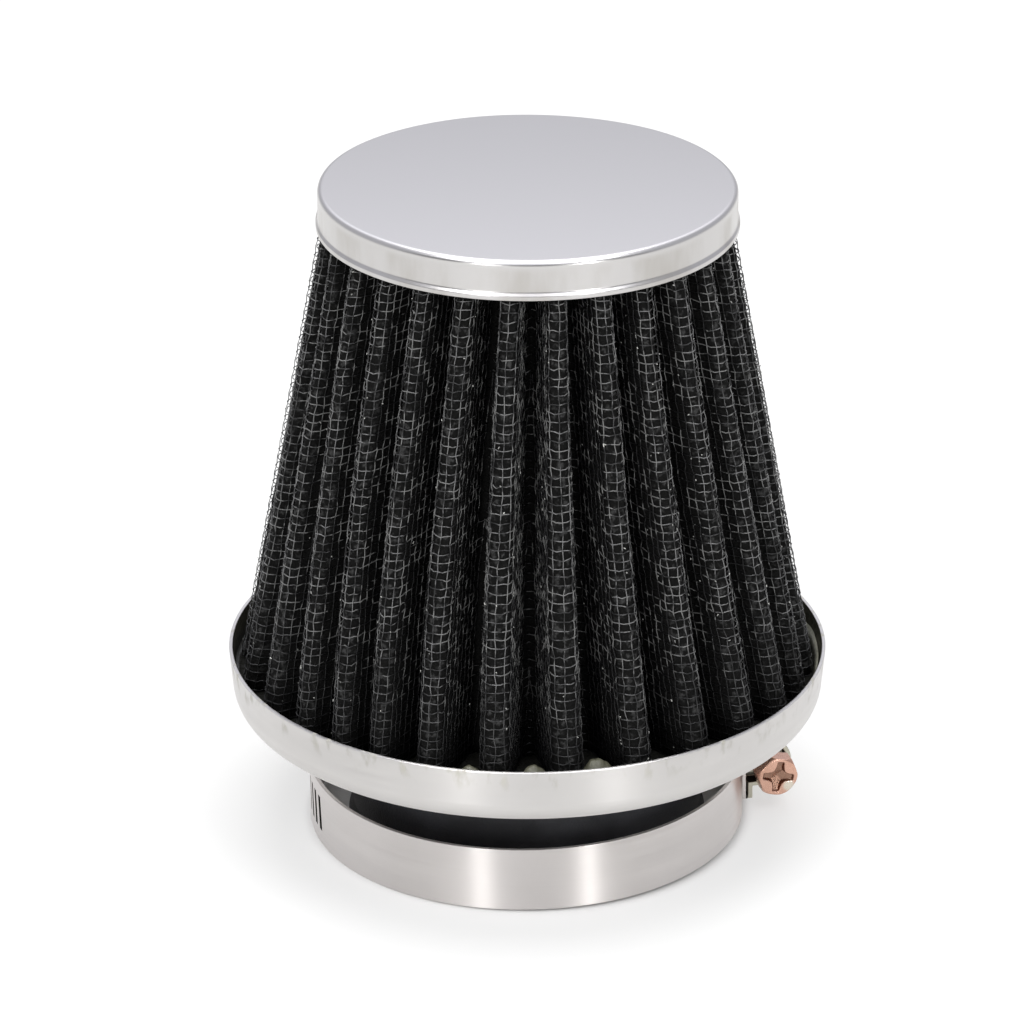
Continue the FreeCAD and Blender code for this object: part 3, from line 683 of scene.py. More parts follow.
def dress(
    piece: Piece, material: Material, body: Body, node: str, second: Optional[Material] = None
) -> None:
    """Give a piece its finish, set it on its body and hide the solid that it stands for.

    Args:
        piece: The piece, in its place.
        material: Its material.
        body: The body that it rides on.
        node: The solid that it stands for.
        second: The material of its marked faces, where it has any.
    """
    marks = [face.material_index for face in piece.data.polygons]
    piece.data.materials.clear()
    piece.data.materials.append(material)
    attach(piece, body.value)
    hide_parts(node)
    if second:
        piece.data.materials.append(second)
        piece.data.polygons.foreach_set("material_index", marks)
    LOG.info("%s: %d faces on %s", piece.name, len(piece.data.polygons), body.value)


@dataclass(frozen=True)
class Corner:
    """A corner of a turned section: distance from the axis, height and the fillet that rounds it."""

    radius: float
    height: float
    fillet: float = 0.0


def rounded_outline(corners: Sequence[Corner], closed: bool) -> np.ndarray:
    """Round a section's corners and hold its straight runs flat.

    Args:
        corners: The corners in order.
        closed: Whether the last corner joins the first.

    Returns:
        Points (radius, height) along the outline.
    """
    spots = [Vector((corner.radius, corner.height)) for corner in corners]
    count = len(spots)
    points: list[Vector] = []
    for number, (corner, spot) in enumerate(zip(corners, spots)):
        inner = closed or 0 < number < count - 1
        if not inner or not corner.fillet:
            points.append(spot)
            continue
        back = spots[number - 1] - spot
        ahead = spots[(number + 1) % count] - spot
        opening = back.angle(ahead)
        longest = FILLET_SHARE * min(back.length, ahead.length)
        reach = min(corner.fillet / math.tan(opening / 2), longest)
        radius = reach * math.tan(opening / 2)
        first = spot + back.normalized() * reach
        last = spot + ahead.normalized() * reach
        inwards = (back.normalized() + ahead.normalized()).normalized()
        centre = spot + inwards * (radius / math.sin(opening / 2))
        turn = math.pi - opening
        parts = max(2, math.ceil(turn / ARC_STEP))
        taken = 2 * reach + 4 * FLAT_HOLD
        if back.length > taken:
            points.append(first + back.normalized() * FLAT_HOLD)
        for part in range(parts + 1):
            share = part / parts
            weight = math.sin((1 - share) * turn), math.sin(share * turn)
            swing = ((first - centre) * weight[0] + (last - centre) * weight[1]) / math.sin(turn)
            points.append(centre + swing)
        if ahead.length > taken:
            points.append(last + ahead.normalized() * FLAT_HOLD)
    return np.array([tuple(point) for point in points])


def turned_piece(
    name: str, corners: Sequence[Corner], closed: bool, segments: int, shift: Optional[Shift] = None
) -> Piece:
    """Turn a section round the Z axis.

    Args:
        name: The piece's name.
        corners: The section's corners.
        closed: Whether the section is a closed loop; otherwise it starts and ends on the axis.
        segments: Count of steps round the axis.
        shift: Moves the turned points a little, for the unevenness of the real piece.

    Returns:
        The piece.
    """
    outline = rounded_outline(corners, closed)
    angle = np.arange(segments) * (2 * math.pi / segments)
    around = np.stack([np.cos(angle), np.sin(angle)], axis=-1)
    flat = outline[:, None, :1] * around[None, :, :]
    height = np.broadcast_to(outline[:, None, 1:], (len(outline), segments, 1))
    points = np.concatenate([flat, height], axis=-1).reshape(-1, 3)
    if shift:
        points = shift(points)
    quads = grid_quads(len(outline), segments, closed, True)
    return mesh_piece(name, points, quads, TURNED_WELD)


def softened_copy(node: str, name: str, bevel: float) -> Piece:
    """Copy a solid's mesh into a new piece with its edges rounded.

    Args:
        node: The solid's name.
        name: The new piece's name.
        bevel: Width of the rounded edges.

    Returns:
        The piece.
    """
    work = bmesh.new()
    work.from_mesh(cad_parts[node].data)
    bmesh.ops.remove_doubles(work, verts=work.verts, dist=FINE_WELD)
    bmesh.ops.dissolve_limit(work, angle_limit=FLAT_ANGLE, verts=work.verts, edges=work.edges)
    bmesh.ops.recalc_face_normals(work, faces=work.faces)
    mesh = bpy.data.meshes.new(name)
    work.to_mesh(mesh)
    work.free()
    mesh.shade_smooth()
    piece = link_object(name, mesh)
    add_bevel(piece, bevel)
    return piece


def add_bevel(piece: Piece, width: float) -> None:
    """Round the sharp edges of a piece and keep its flat faces flat."""
    bevel = piece.modifiers.new("rounded_edges", "BEVEL")
    bevel.width = width
    bevel.segments = BEVEL_STEPS
    bevel.limit_method = "ANGLE"
    bevel.angle_limit = BEVEL_ANGLE
    bevel.harden_normals = True


# Sub-assemblies


@dataclass(frozen=True)
class Wave:
    """A ripple round the axis: its height, how many there are in a turn, and where it starts."""

    height: float
    count: int
    start: float = 0.0

    def at(self, angle: np.ndarray) -> np.ndarray:
        """Return the ripple's height at an angle."""
        return self.height * np.sin(self.count * angle + self.start)


@dataclass
class EndPlates:
    """The pressed cap above the pack and the dish below it."""

    cap_radius: float = 32.7 * MM
    cap_sheet: float = 0.6 * MM
    cap_corner: float = 0.85 * MM
    cap_crown: float = 0.40 * MM
    crown_reach: float = 0.93
    crown_rings: int = 15
    cap_lip_flare: float = 0.34 * MM
    cap_lip_length: float = 1.25 * MM
    cap_lip_face: float = 0.75 * MM
    cap_lip_bend: float = 0.5 * MM
    pan_rim_radius: float = 48.0 * MM
    pan_floor_corner: float = 4.0 * MM
    pan_wall_lean: float = 5 * DEGREE
    pan_sheet: float = 0.6 * MM
    pan_hole_radius: float = 28.35 * MM
    edge_round: float = 0.18 * MM
    uneven_from: float = 20 * MM
    waves: tuple[Wave, ...] = (Wave(0.05 * MM, 3, 0.4), Wave(0.03 * MM, 7, 1.9))
    inward_limit: float = -0.8
    segments: int = 256

    def build_cap(self) -> Piece:
        """Return the cap: slightly crowned face, rounded edge, and a skirt with a flared lip."""
        low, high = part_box("top_cap")
        edge = low.z
        top = high.z
        lip = self.cap_radius + self.cap_lip_flare
        inside = self.cap_radius - self.cap_sheet
        crown = np.linspace(0.0, self.crown_reach, self.crown_rings).tolist()
        corners = [
            *[Corner(share * self.cap_radius, top + self.cap_crown * (1 - share ** 2)) for share in crown],
            Corner(self.cap_radius, top, self.cap_corner),
            Corner(self.cap_radius, edge + self.cap_lip_length, self.cap_lip_bend),
            Corner(lip, edge + self.cap_lip_face, 0.5 * self.cap_lip_bend),
            Corner(lip, edge, self.edge_round),
            Corner(lip - self.cap_sheet, edge, self.edge_round),
            Corner(inside, edge + self.cap_lip_length, self.cap_lip_bend),
            Corner(inside, top - self.cap_sheet, self.cap_corner - self.cap_sheet),
            Corner(0.0, top - self.cap_sheet),
        ]
        return turned_piece("cap_shell", corners, False, self.segments, self.uneven)

    def build_pan(self) -> Piece:
        """Return the dish: leaning wall, rounded floor edge and the hole for the neck."""
        low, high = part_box("base_pan")
        floor = low.z
        rim = high.z
        wall_foot = self.pan_rim_radius - (rim - floor) * math.tan(self.pan_wall_lean)
        skin = self.pan_sheet / math.cos(self.pan_wall_lean)
        corners = [
            Corner(self.pan_hole_radius, floor, self.edge_round),
            Corner(wall_foot, floor, self.pan_floor_corner),
            Corner(self.pan_rim_radius, rim, self.edge_round),
            Corner(self.pan_rim_radius - skin, rim, self.edge_round),
            Corner(wall_foot - skin, floor + self.pan_sheet, self.pan_floor_corner - self.pan_sheet),
            Corner(self.pan_hole_radius, floor + self.pan_sheet, self.edge_round),
        ]
        return turned_piece("pan_shell", corners, True, self.segments, self.uneven)

    def uneven(self, points: np.ndarray) -> np.ndarray:
        """Move pressed sheet a few hundredths of a millimetre off its true round."""
        angle = np.arctan2(points[:, 1], points[:, 0])
        radius = np.hypot(points[:, 0], points[:, 1])
        wave = sum(wave.at(angle) for wave in self.waves)
        grow = 1 + wave / np.maximum(radius, self.uneven_from) * (radius > self.uneven_from)
        moved = points.copy()
        moved[:, :2] *= grow[:, None]
        return moved

    def faces_inward(self, face: bpy.types.MeshPolygon) -> bool:
        """Say whether a face looks at the axis."""
        outward = Vector((face.center.x, face.center.y, 0.0)).normalized()
        return face.normal.dot(outward) < self.inward_limit

    def dress(self) -> None:
        """Build both plates and give them their finish."""
        dress(self.build_cap(), CAP_STEEL.make(), Body.FILTER, "top_cap")
        pan = self.build_pan()
        # the inward faces take the dark finish that paints the wall's reflection and shade
        mark_faces(pan, self.faces_inward)
        dress(pan, PAN_STEEL.make(), Body.FILTER, "base_pan", PAN_INSIDE.make())


@dataclass(frozen=True)
class Lean:
    """A stretch of the pack whose pleats lie turned aside, by an angle below and one half way up."""

    azimuth: float
    below: float
    midway: float


@dataclass
class PleatedPack:
    """The folded cone: wire screen outside, filter sheet, and wire screen inside."""

    pleats: int = 28
    first_ridge: float = -94.8 * DEGREE
    base_radius: float = 46.25 * MM
    top_radius: float = 31.9 * MM
    pleat_depth: float = 13.1 * MM
    ridge_fold: float = 2.2 * MM
    valley_fold: float = 0.9 * MM
    media_outside: float = 0.32 * MM
    media_inside: float = 0.92 * MM
    inner_outside: float = 0.94 * MM
    inner_inside: float = 1.24 * MM
    fold_points: int = 7
    flank_points: int = 6
    valley_points: int = 5
    media_rows: int = 40
    inner_rows: int = 24
    wire_pitch: float = 1.41 * MM
    wire_radius: float = 0.08 * MM
    shortest_wire: int = 3
    first_row: float = 0.3
    crimp: float = 0.09 * MM
    flank_depth: float = 0.10 * MM
    ridge_depth: float = -0.14 * MM
    bulge_power: int = 4
    drift: float = 0.11 * MM
    drift_by_pleat: float = 1.7
    drift_by_row: float = 0.6
    slow_drift: float = 0.5
    slow_by_row: float = 0.9
    sway: float = 0.15 * MM
    sway_by_row: float = 0.23
    sway_by_column: float = 1.3
    sway_by_pleat: float = 2.1
    stray: float = 0.085 * MM
    sectors: int = 4
    lint_count: int = 700
    lint_radius: float = 0.08 * MM
    lint_length: Range = (0.12 * MM, 0.40 * MM)
    lint_lift: float = 0.20 * MM
    lint_spread: float = 0.4
    lint_limit: float = 0.9
    lint_margin: float = 0.5 * MM
    lean_reach: float = 17 * DEGREE
    leans: tuple[Lean, ...] = tuple(
        Lean(azimuth * DEGREE, below * DEGREE, midway * DEGREE)
        for azimuth, below, midway in (
            (-158, 4.4, 2.3), (-138, 3.2, 0.2), (-112, -2.0, -2.0), (-92, -1.3, -1.0),
            (-70, 1.5, 0.6), (-48, 2.4, 0.4), (-28, 2.3, 1.2),
        )
    )

    def __post_init__(self) -> None:
        """Work out the base section of one pleat and the pack's height."""
        self.chance = np.random.default_rng(SEED)
        low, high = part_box("filter_media")
        self.foot = low.z
        self.head = high.z
        half = math.pi / self.pleats
        self.ridge = np.array([self.base_radius - self.ridge_fold, 0.0])
        ring = self.base_radius - self.pleat_depth + self.valley_fold
        self.valley = ring * np.array([math.cos(half), math.sin(half)])
        span = self.valley - self.ridge
        reach = float(np.hypot(*span))
        lean = math.asin((self.ridge_fold + self.valley_fold) / reach)
        self.turn = math.atan2(span[1], span[0]) - math.pi / 2 + lean
        self.flank_normal = np.array([math.cos(self.turn), math.sin(self.turn)])
        self.off_ridge = self.ridge + self.flank_normal * self.ridge_fold
        self.off_valley = self.valley - self.flank_normal * self.valley_fold
        self.ridge_arc = self.ridge_fold * self.turn
        self.flank = float(np.hypot(*(self.off_valley - self.off_ridge)))
        self.valley_arc = self.valley_fold * (self.turn - half)
        self.half_length = self.ridge_arc + self.flank + self.valley_arc

    def scale(self, height: np.ndarray) -> np.ndarray:
        """Return the size of a pleat at a height, as a share of its size at the base."""
        share = (height - self.foot) / (self.head - self.foot)
        return 1 - (1 - self.top_radius / self.base_radius) * share

    def section(self, along: np.ndarray) -> tuple[np.ndarray, np.ndarray]:
        """Follow the base section of one pleat from its ridge.

        Args:
            along: Distances from the ridge, negative on the other side.

        Returns:
            Points, and the outward direction at each.
        """
        side = np.where(along < 0, -1.0, 1.0)
        far = np.abs(along)
        down = np.clip(far - self.ridge_arc, 0, self.flank)
        low = np.clip(far - self.ridge_arc - self.flank, 0, self.valley_arc)
        angle = np.minimum(far / self.ridge_fold, self.turn) - low / self.valley_fold
        normal = np.stack([np.cos(angle), np.sin(angle)], axis=-1)
        slope = (self.off_valley - self.off_ridge) / self.flank
        points = self.ridge + normal * self.ridge_fold + slope * down[..., None]
        folded = self.valley - normal * self.valley_fold
        points = np.where((low > 0)[..., None], folded, points)
        mirror = np.stack([np.ones_like(side), side], axis=-1)
        return points * mirror, normal * mirror

    def aside(self, azimuth: np.ndarray, height: np.ndarray) -> np.ndarray:
        """Return how far the pleats are turned aside at a place in the pack."""
        fall = (self.head - height) / (self.head - self.foot)
        total = np.zeros_like(azimuth)
        for lean in self.leans:
            gap = (azimuth - lean.azimuth + math.pi) % (2 * math.pi) - math.pi
            bend = 4 * fall * (1 - fall) * (lean.midway - 0.5 * lean.below) + fall * lean.below
            total = total + bend * np.exp(-((gap / self.lean_reach) ** 2))
        return total

    def place(
        self, pleat: np.ndarray, along: np.ndarray, height: np.ndarray, depth: np.ndarray
    ) -> tuple[np.ndarray, np.ndarray]:
        """Put points on a pleat.

        Args:
            pleat: Number of the pleat.
            along: Distance from its ridge, as measured at the base.
            height: Height of the point.
            depth: Distance under the pack's face.

        Returns:
            The points and the outward direction at each.
        """
        flat, normal = self.section(along)
        flat = flat * self.scale(height)[..., None] - normal * depth[..., None]
        base_turn = self.first_ridge + pleat * (2 * math.pi / self.pleats)
        azimuth = base_turn + np.arctan2(flat[..., 1], flat[..., 0])
        turn = base_turn + self.aside(azimuth, height)
        cos, sin = np.cos(turn), np.sin(turn)

        def swing(vector: np.ndarray) -> np.ndarray:
            """Turn level directions round the axis."""
            return np.stack([vector[..., 0] * cos - vector[..., 1] * sin,
                             vector[..., 0] * sin + vector[..., 1] * cos], axis=-1)

        points = np.concatenate([swing(flat), height[..., None]], axis=-1)
        outward = np.concatenate([swing(normal), np.zeros_like(height)[..., None]], axis=-1)
        return points, outward

    def build_sheet(self, name: str, outside: float, inside: float, rows: int) -> Piece:
        """Make one folded sheet as a closed skin.

        Args:
            name: The piece's name.
            outside: Depth of its outer face under the pack's face.
            inside: Depth of its inner face.
            rows: Count of rows from base to top.

        Returns:
            The piece.
        """
        flank_end = self.ridge_arc + self.flank
        fold = np.linspace(0, self.ridge_arc, self.fold_points)
        side = np.linspace(self.ridge_arc, flank_end, self.flank_points)[1:]
        dip = np.linspace(flank_end, self.half_length, self.valley_points)[1:]
        half = np.concatenate([fold, side, dip])
        whole = np.concatenate([-half[:0:-1], half[:-1]])
        along = np.tile(whole, self.pleats)
        pleat = np.repeat(np.arange(self.pleats), len(whole))
        climb = np.linspace(self.foot, self.head, rows)
        height = np.concatenate([climb, climb[::-1]])
        depth = np.repeat([outside, inside], rows)
        shape = (2 * rows, len(along))
        points, _ = self.place(
            np.broadcast_to(pleat, shape), np.broadcast_to(along, shape),
            np.broadcast_to(height[:, None], shape), np.broadcast_to(depth[:, None], shape),
        )
        return mesh_piece(name, points.reshape(-1, 3), grid_quads(2 * rows, len(along), True, True))

    def wire_depth(self, along: np.ndarray) -> np.ndarray:
        """Return the depth of the wires' middle: proud on the ridges, close on the sides."""
        bulge = np.exp(-((along / self.ridge_arc) ** self.bulge_power))
        return self.flank_depth + (self.ridge_depth - self.flank_depth) * bulge

    def row_heights(self) -> np.ndarray:
        """Return the heights of the wires that run round the pack."""
        slope = math.atan2(self.base_radius - self.top_radius, self.head - self.foot)
        step = self.wire_pitch * math.cos(slope)
        return np.arange(self.foot + self.first_row * step, self.head, step)

    def level_wire(self, row: int, height: float, pleats: range) -> tuple[np.ndarray, np.ndarray]:
        """Follow one wire round some pleats, over and under the upright wires.

        Args:
            row: Number of the wire from the base.
            height: Its height.
            pleats: The pleats that it crosses.

        Returns:
            Points, and the outward direction at each.
        """
        scale = float(self.scale(np.array(height)))
        count = int(self.half_length * scale / self.wire_pitch)
        columns = np.arange(-count, count + 1)
        cross = columns * self.wire_pitch / scale
        sign = np.where((columns + row) % 2 == 0, 1.0, -1.0)
        middle = cross[:-1] + 0.5 * self.wire_pitch / scale
        middle = middle[np.abs(middle) < self.ridge_arc + 0.5 * self.wire_pitch]
        along = np.concatenate([cross, middle, [-self.half_length]])
        over = np.concatenate([sign, np.zeros(len(middle) + 1)]) * self.crimp
        order = np.argsort(along)
        along, over = along[order], over[order]
        all_along = np.tile(along, len(pleats))
        all_over = np.tile(over, len(pleats))
        number = np.repeat(np.array(pleats), len(along))
        quick = np.sin(self.drift_by_pleat * number + self.drift_by_row * row)
        slow = self.slow_drift * math.sin(self.slow_by_row * row)
        stray = self.chance.normal(0, self.stray, len(all_along))
        level = height + self.drift * (quick + slow) + stray
        return self.place(number, all_along, level, self.wire_depth(all_along) - all_over)

    def upright_wire(
        self, column: int, pleat: int, heights: np.ndarray
    ) -> Optional[tuple[np.ndarray, np.ndarray]]:
        """Follow one wire up a pleat until the valley takes it in.

        Args:
            column: Number of the wire from the ridge, negative on the other side.
            pleat: The pleat.
            heights: Heights of the wires that it crosses.

        Returns:
            Points and the outward direction at each, or nothing where the wire is too short.
        """
        along = column * self.wire_pitch / self.scale(heights)
        inside = np.abs(along) < self.half_length
        rows = np.arange(len(heights))[inside]
        if len(rows) < self.shortest_wire:
            return None
        over = np.where((rows + column) % 2 == 0, -1.0, 1.0) * self.crimp
        phase = self.sway_by_row * rows + self.sway_by_column * column + self.sway_by_pleat * pleat
        path = along[inside] + self.sway * np.sin(phase) + self.chance.normal(0, self.stray, len(rows))
        return self.place(np.full(len(rows), pleat), path, heights[inside], self.wire_depth(path) - over)

    def build_wires(self, sector: int) -> Piece:
        """Weave the outer screen over one sector of the pack.

        Args:
            sector: Number of the sector.

        Returns:
            The piece.
        """
        share = self.pleats // self.sectors
        pleats = range(sector * share, (sector + 1) * share)
        heights = self.row_heights()
        tubes = WireTubes(self.wire_radius)
        for row, height in enumerate(heights):
            tubes.add(*self.level_wire(row, float(height), pleats))
        most = int(self.half_length / self.wire_pitch)
        for pleat in pleats:
            for column in range(-most, most + 1):
                path = self.upright_wire(column, pleat, heights)
                if path:
                    tubes.add(*path)
        return tubes.piece(f"screen_wires_{sector + 1}")

    def build_lint(self) -> Piece:
        """Return short pale fibres, scattered over the outer screen."""
        chance = self.chance
        tubes = WireTubes(self.lint_radius)
        ends = np.array([-0.5, 0.0, 0.5])
        for _ in range(self.lint_count):
            pleat = np.full(len(ends), chance.integers(self.pleats))
            length = chance.uniform(*self.lint_length)
            lean = chance.uniform(0, math.pi)
            share = np.clip(chance.normal(0, self.lint_spread), -self.lint_limit, self.lint_limit)
            along = share * self.half_length + ends * length * math.cos(lean)
            middle = chance.uniform(self.foot, self.head - 2 * self.lint_margin) + self.lint_margin
            height = middle + ends * length * math.sin(lean)
            tubes.add(*self.place(pleat, along, height, self.wire_depth(along) - self.lint_lift))
        return tubes.piece("screen_lint")

    def dress(self) -> None:
        """Build the three layers and give them their finish."""
        cone = (self.foot, self.head, self.base_radius, self.top_radius)
        wire = WireFinish(cone).make()
        for sector in range(self.sectors):
            dress(self.build_wires(sector), wire, Body.FILTER, "outer_screen")
        dress(self.build_lint(), LintFinish().make(), Body.FILTER, "outer_screen")
        depths = self.media_outside, self.media_inside
        media = self.build_sheet("media_sheet", *depths, self.media_rows)
        dress(media, ClothFinish(cone).make(), Body.FILTER, "filter_media")
        depths = self.inner_outside, self.inner_inside
        inner = self.build_sheet("inner_screen_sheet", *depths, self.inner_rows)
        dress(inner, InnerScreenFinish().make(), Body.FILTER, "inner_screen")


class WireTubes:
    """Many thin wires gathered into one mesh."""

    def __init__(self, radius: float, sides: int = 4) -> None:
        """Keep the wires' radius and the count of their sides."""
        self.radius = radius
        self.angles = np.arange(sides) * (2 * math.pi / sides) + math.pi / 4
        self.points: list[np.ndarray] = []
        self.faces: list[np.ndarray] = []
        self.total = 0

    def add(self, path: np.ndarray, outward: np.ndarray) -> None:
        """Add one wire with closed ends.

        Args:
            path: Points along its middle.
            outward: A direction across the wire at each point.
        """
        ahead = np.gradient(path, axis=0)
        ahead /= np.linalg.norm(ahead, axis=1, keepdims=True)
        across = np.cross(ahead, outward)
        across /= np.linalg.norm(across, axis=1, keepdims=True)
        up = np.cross(across, ahead)
        cos, sin = np.cos(self.angles)[None, :, None], np.sin(self.angles)[None, :, None]
        ring = cos * up[:, None, :] + sin * across[:, None, :]
        points = path[:, None, :] + ring * self.radius
        sides = len(self.angles)
        quads = grid_quads(len(path), sides, False, True)
        ends = np.array([np.arange(sides)[::-1], np.arange(sides) + (len(path) - 1) * sides])
        self.points.append(points.reshape(-1, 3))
        self.faces.append(np.concatenate([quads, ends]) + self.total)
        self.total += len(path) * sides

    def piece(self, name: str) -> Piece:
        """Return the wires as one object."""
        return mesh_piece(name, np.concatenate(self.points), np.concatenate(self.faces))


@dataclass(frozen=True)
class Mound:
    """A heap of glue in a valley: its direction, height and half width."""

    azimuth: float
    height: float
    width: float


@dataclass
class Neck:
    """The rubber sleeve under the pan and the glue that seats the pack."""

    bore_radius: float = 25.0 * MM
    outer_radius: float = 28.3 * MM
    bead_radius: float = 29.0 * MM
    bead_straight: float = 1.0 * MM
    bead_length: float = 3.6 * MM
    mouth_bevel: float = 0.8 * MM
    flange_radius: float = 34.3 * MM
    pan_floor: float = 21.85 * MM
    mouth_round: float = 0.2 * MM
    lip_round: float = 0.5 * MM
    bead_round: float = 1.0 * MM
    seat_round: float = 0.3 * MM
    flange_foot_round: float = 0.2 * MM
    flange_round: float = 0.4 * MM
    bore_round: float = 0.5 * MM
    bevel_round: float = 0.4 * MM
    glue_inner: float = 29.5 * MM
    glue_outer: float = 46.93 * MM
    glue_foot: float = 46.75 * MM
    glue_floor: float = 43.5 * MM
    glue_bend: float = 3.1 * MM
    glue_rings: int = 26
    flange_gap: float = 0.05 * MM
    face_depth: float = 0.01 * MM
    lumps: Wave = Wave(0.22 * MM, 9, 1.0)
    lumps_out: float = 620.0
    grit: Wave = Wave(0.18 * MM, 23)
    grit_out: float = 900.0
    wall_smear: float = 0.9 * MM
    wall_heap: float = 2.0 * MM
    wall_heap_reach: float = 22 * DEGREE
    wall_width: float = 0.7 * MM
    ragged: tuple[Wave, ...] = (Wave(0.03, 190), Wave(0.03, 83))
    mound_power: float = 2.5
    mounds: tuple[Mound, ...] = (
        Mound(-101.6 * DEGREE, 3.7 * MM, 2.3 * MM),
        Mound(-88.6 * DEGREE, 4.1 * MM, 2.4 * MM),
        Mound(-75.7 * DEGREE, 4.1 * MM, 2.9 * MM),
    )
    mound_ring: float = 43.8 * MM
    mound_depth: float = 1.4 * MM
    segments: int = 224
    glue_segments: int = 672

    def build_sleeve(self) -> Piece:
        """Return the sleeve with its beaded mouth and its flange in the pan."""
        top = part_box("rubber_neck")[1].z
        corners = [
            Corner(self.bore_radius + self.mouth_bevel, 0.0, self.mouth_round),
            Corner(self.bead_radius, 0.0, self.lip_round),
            Corner(self.bead_radius, self.bead_straight, self.bead_round),
            Corner(self.outer_radius, self.bead_length, self.bead_round),
            Corner(self.outer_radius, self.pan_floor, self.seat_round),
            Corner(self.flange_radius, self.pan_floor, self.flange_foot_round),
            Corner(self.flange_radius, top, self.flange_round),
            Corner(self.bore_radius, top, self.bore_round),
            Corner(self.bore_radius, self.mouth_bevel, self.bevel_round),
        ]
        return turned_piece("neck_sleeve", corners, True, self.segments)

    def glue_lift(self, angle: np.ndarray, radius: np.ndarray) -> np.ndarray:
        """Return how far the glue's upper face is raised in lumps, up the wall and in the valleys."""
        lumps = self.lumps.at(angle) * np.sin(radius * self.lumps_out)
        grit = self.grit.height * np.sin(self.grit.count * angle + radius * self.grit_out)
        smeared = self.wall_smear + self.wall_heap * np.exp(-((angle / self.wall_heap_reach) ** 2))
        wall = smeared * np.exp(-((self.glue_outer - radius) / self.wall_width) ** 2)
        ragged = 1 + sum(wave.at(angle) for wave in self.ragged)
        off = (radius - self.mound_ring) / self.mound_depth
        mound = np.zeros_like(angle)
        for heap in self.mounds:
            across = np.abs((angle - heap.azimuth) * radius / heap.width)
            mound += heap.height * ragged * np.exp(-across ** self.mound_power - off ** 2)
        return lumps + grit + wall + mound

    def build_glue(self) -> Piece:
        """Return the ring of glue in the pan, lumpy above and raised in the front valleys."""
        low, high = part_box("base_potting")
        flange_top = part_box("rubber_neck")[1].z
        top = high.z
        inside = self.flange_radius + self.flange_gap
        rings = np.linspace(self.glue_outer, self.glue_inner, self.glue_rings)
        corners = [
            Corner(inside, low.z),
            Corner(self.glue_floor, low.z),
            Corner(self.glue_foot, low.z + self.glue_bend),
            *[Corner(float(radius), top) for radius in rings],
            Corner(self.glue_inner, flange_top),
            Corner(inside, flange_top),
        ]

        def lumpy(points: np.ndarray) -> np.ndarray:
            """Raise the points of the glue's upper face."""
            angle = np.arctan2(points[:, 1], points[:, 0])
            lift = self.glue_lift(angle, np.hypot(points[:, 0], points[:, 1]))
            moved = points.copy()
            moved[:, 2] += np.where(points[:, 2] > top - self.face_depth, lift, 0.0)
            return moved

        return turned_piece("glue_bed", corners, True, self.glue_segments, lumpy)

    def dress(self) -> None:
        """Build the sleeve and the glue and give them, and the hidden glue, their finish."""
        dress(self.build_sleeve(), RubberFinish().make(), Body.FILTER, "rubber_neck")
        glue = GlueFinish().make()
        dress(self.build_glue(), glue, Body.FILTER, "base_potting")
        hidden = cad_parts["top_potting"]
        hidden.data.materials.clear()
        hidden.data.materials.append(glue)


